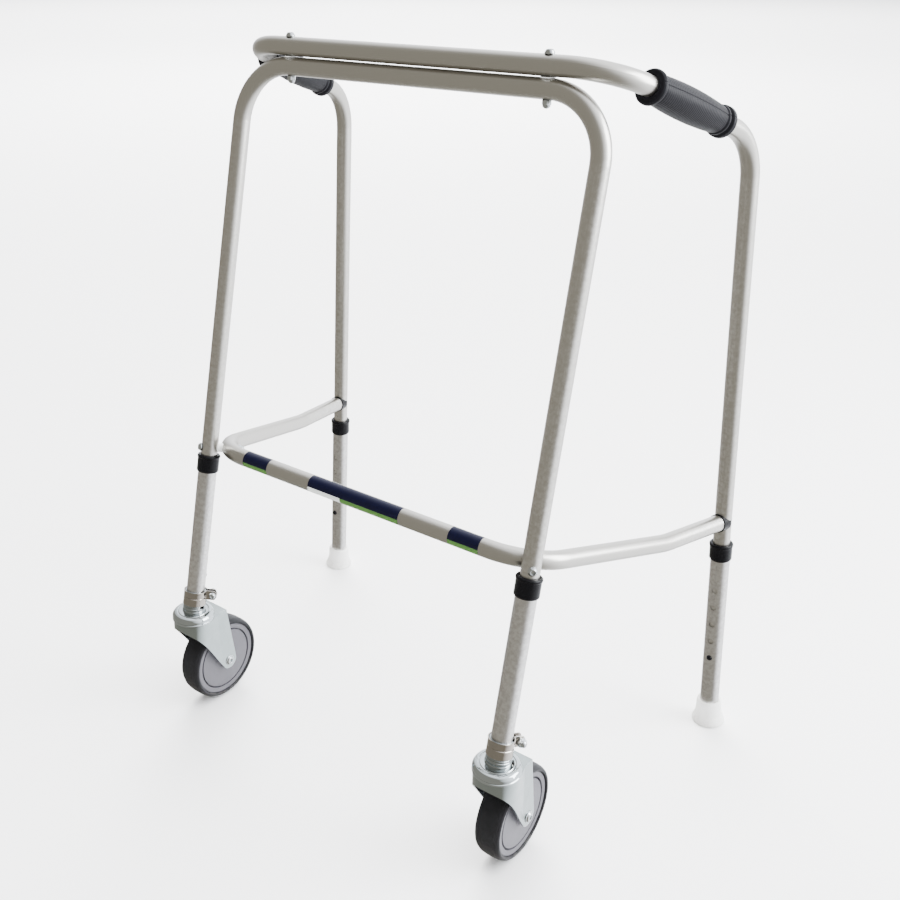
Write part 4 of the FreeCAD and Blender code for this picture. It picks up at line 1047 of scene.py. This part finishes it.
def make_fork(side):
    """A pressed steel fork: a flat crown, a round skirt in front and two flat tapering legs."""
    centre = swivel_centre(side)
    columns = fork_columns()
    rows = 22
    bm = bmesh.new()
    walls = {}
    for sign in (1, -1):
        wall = []
        for (top_y, top_z), (low_y, low_z) in columns:
            line = []
            for j in range(rows + 1):
                share = j / rows
                y_mm = top_y + (low_y - top_y) * share
                z_mm = top_z + (low_z - top_z) * share
                x_mm = sign * fork_side(y_mm, z_mm)
                if abs(x_mm) < 1e-6 and sign == -1:
                    line.append(walls[1][0][j])
                else:
                    line.append(bm.verts.new(centre + Vector((x_mm, y_mm, z_mm)) * MM))
            wall.append(line)
        walls[sign] = wall
        for first, second in zip(wall, wall[1:]):
            for j in range(rows):
                bm.faces.new((first[j], second[j], second[j + 1], first[j + 1]))
    rim_right = [line[0] for line in walls[1]]
    rim_left = [line[0] for line in walls[-1]][1:]
    for i in range(1, len(rim_right) - 1):
        right_here, right_next = rim_right[i], rim_right[i + 1]
        left_here, left_next = rim_left[i - 1], rim_left[i]
        bm.faces.new((right_here, right_next, left_next, left_here))
    bm.faces.new((rim_right[0], rim_right[1], rim_left[0]))
    made = baked(
        f"{side}_fork_pressing", bm, bevelled(1.6, 3, 50), thickened(FORK_THICK, -1.0),
        bevelled(0.5, 2, 60),
    )
    piece_from_mesh(
        f"{side}_fork_pressing", made, ZINC, f"{side}_fork", f"{side}_castor_fork",
        sharp=28,
    )


def make_axle(side):
    """The axle's flanged screw, with its head on the +X side, and its lock nut."""
    across = Vector((1, 0, 0))
    centre = axle_centre(side)
    tip, top = bolt_line(f"{side}_axle_bolt")
    height, flange = 3.6, 7.6
    seat = centre + across * FORK_HALF_WIDTH * MM
    length = (seat.x - min(tip.x, top.x)) / MM
    outline = filleted([
        (0, -length), (3.4, -length), (4.0, 0.6 - length), (4.0, 0), (flange, 0, 0.2),
        (flange, 0.7, 0.3), (6.5, 1.1, 0.4), (5.6, 2.9, 1.8), (3.2, height, 0.5),
        (2.7, height - 0.3), (2.4, 1.2), (0, 0.9),
    ])
    turned_piece(
        f"{side}_axle_screw", outline, place_at(seat, across, UP), BOLT_STEEL, f"{side}_fork",
        f"{side}_axle_bolt", "zinc_plated_steel", segments=64,
    )
    nut = filleted([
        (4.05, 0), (6.3, 0), (6.8, 0.5), (6.8, 4.0), (6.2, 4.7, 0.2), (5.2, 5.0, 0.3),
        (5.0, 6.3, 0.4), (4.05, 6.5),
    ])
    nut_seat = centre - across * FORK_HALF_WIDTH * MM
    turned_piece(
        f"{side}_axle_lock_nut", nut, place_at(nut_seat, -across, UP), BOLT_STEEL, f"{side}_fork",
        f"{side}_axle_nut", "zinc_plated_steel", segments=60, loop=True, flats=(11.8, 0.3, 4.3),
    )


def mirrored_outline(half):
    """A closed wheel section from its outer half, given as (radius, width, fillet) points."""
    other = [(point[0], -point[1], *point[2:]) for point in half[::-1]]
    return filleted(half + other, loop=True, steps=5)


def make_wheel(side):
    """A grey plastic wheel with a thick dark tread moulded round it."""
    place = place_at(axle_centre(side), Vector((1, 0, 0)), UP)
    hub = mirrored_outline([
        (9.0, 17.5, 0.3), (12.4, 17.5, 0.8), (13.6, 15.2, 1.0), (15.5, 14.1, 1.2),
        (43.6, 14.0, 0.5), (44.2, 13.6, 0.3), (44.3, 9.6, 0.3), (46.4, 9.6, 0.3),
        (46.5, 14.2, 0.5), (52.2, 14.6, 0.5), (53.0, 14.4, 0.6), (54.2, 13.2),
    ])
    turned_piece(
        f"{side}_wheel_disc", hub, place, HUB_PLASTIC, f"{side}_wheel", f"{side}_wheel_hub",
        "hub_plastic", segments=128, loop=True,
    )
    tread = mirrored_outline([
        (54.0, 13.0), (53.4, 15.0, 0.3), (54.2, 16.4, 0.8), (56.4, 17.0, 1.2), (58.4, 15.8, 3.0),
        (60.3, 11.8, 6.0), (61.0, 5.0, 10.0),
    ])
    turned_piece(
        f"{side}_wheel_tread", tread, place, TYRE_RUBBER, f"{side}_wheel",
        f"{side}_wheel_tyre", "tyre_rubber", segments=144, loop=True,
    )


def make_castors():
    for side in SIDES:
        make_swivel_dome(side)
        make_socket(side)
        make_clamp_band(side)
        make_clamp_fasteners(side)
        make_fork(side)
        make_axle(side)
        make_wheel(side)


# ---- Floor, light and camera ----


def make_floor():
    reach, drop = 45.0, 0.0006
    bm = bmesh.new()
    corners = [(-reach, -reach), (reach, -reach), (reach, reach), (-reach, reach)]
    bm.faces.new([bm.verts.new((x, y, -drop)) for x, y in corners])
    mesh = mesh_of("studio_floor", bm)
    matt = 0.9
    material, tree, shader = base_material(
        "studio_floor_paint", Roughness=matt, Specular_IOR_Level=0.1
    )
    mottle = use_group(
        tree, MOTTLE, Color=rgba(0.92, 0.92, 0.92), Second_Color=rgba(0.905, 0.905, 0.905),
        Broad_Scale=3.0, Grain_Scale=300.0, Amount=0.5, Roughness=matt, Roughness_Change=0.02,
    )
    feed(tree, shader, mottle.outputs["Color"], mottle.outputs["Roughness"])
    mesh.materials.append(material)
    floor = linked("studio_floor", mesh)
    floor.visible_glossy = False


def make_world():
    """A pale room, bright on one side and dim on the other so that bright metal has shape."""
    dim, bright = rgba(0.22, 0.21, 0.185), rgba(1.55, 1.58, 1.66)
    bright_way = Vector((0.4, 0.88, 0.25))
    world = bpy.data.worlds.new("studio_room")
    world.use_nodes = True
    tree = world.node_tree
    back = tree.nodes["Background"]
    direction = add(tree, "ShaderNodeTexCoord").outputs["Generated"]
    facing = add(tree, "ShaderNodeVectorMath", operation="DOT_PRODUCT")
    wire(tree, direction, facing.inputs[0])
    wire(tree, bright_way, facing.inputs[1])
    share = fit_range(tree, facing.outputs["Value"], -0.2, 0.5)
    wire(tree, mix_colour(tree, share, dim, bright), back.inputs["Color"])
    back.inputs["Strength"].default_value = 2.2
    bpy.context.scene.world = world


def soft_light(name, spot, target, width, height, power, colour, mirrored=False):
    """A rectangular light aimed at a target. Bright metal mirrors it if mirrored is set."""
    light = bpy.data.lights.new(name, "AREA")
    light.shape = "RECTANGLE"
    light.size, light.size_y = width, height
    light.energy, light.color = power, colour
    holder = linked(name, light)
    holder.location = spot
    holder.rotation_euler = (Vector(target) - Vector(spot)).to_track_quat("-Z", "Y").to_euler()
    holder.visible_glossy = mirrored


def make_lights():
    target = (0, 0, 0.35)
    cool, warm, white = (0.95, 0.97, 1.0), (1.0, 0.99, 0.97), (1, 1, 1)
    soft_light("key_softbox", (2.3, 1.2, 1.7), target, 1.8, 2.2, 200, cool, mirrored=True)
    soft_light("top_softbox", (0.2, 0.1, 3.6), target, 3.0, 3.0, 230, warm)
    soft_light("backdrop_softbox", (-4.2, 5.6, 5.0), (-3.6, 5.0, 0), 6.0, 6.0, 1500, white)
    soft_light(
        "far_backdrop_softbox", (-11.0, 14.0, 10.0), (-11.0, 14.0, 0), 16.0, 16.0, 9000, white
    )


def make_camera():
    yaw, pitch, roll = math.radians(37.88), math.radians(23.44), math.radians(0.33)
    camera = bpy.data.cameras.new("studio_camera")
    camera.sensor_width = 36.0
    camera.lens = 43.53
    camera.shift_x, camera.shift_y = 0.0772, -0.0323
    camera.clip_start, camera.clip_end = 0.05, 60.0
    holder = linked("studio_camera", camera)
    tilt = Matrix.Rotation(math.pi / 2 - pitch, 4, "X")
    turn = Matrix.Rotation(yaw, 4, "Z") @ tilt @ Matrix.Rotation(roll, 4, "Z")
    holder.matrix_world = Matrix.Translation((0.7549, -1.0790, 1.0181)) @ turn
    bpy.context.scene.camera = holder


paint_kept_nodes()
make_frame_fasteners()
make_grips()
make_collars()
make_buttons()
make_feet()
make_labels()
make_castors()
make_floor()
make_world()
make_lights()
make_camera()
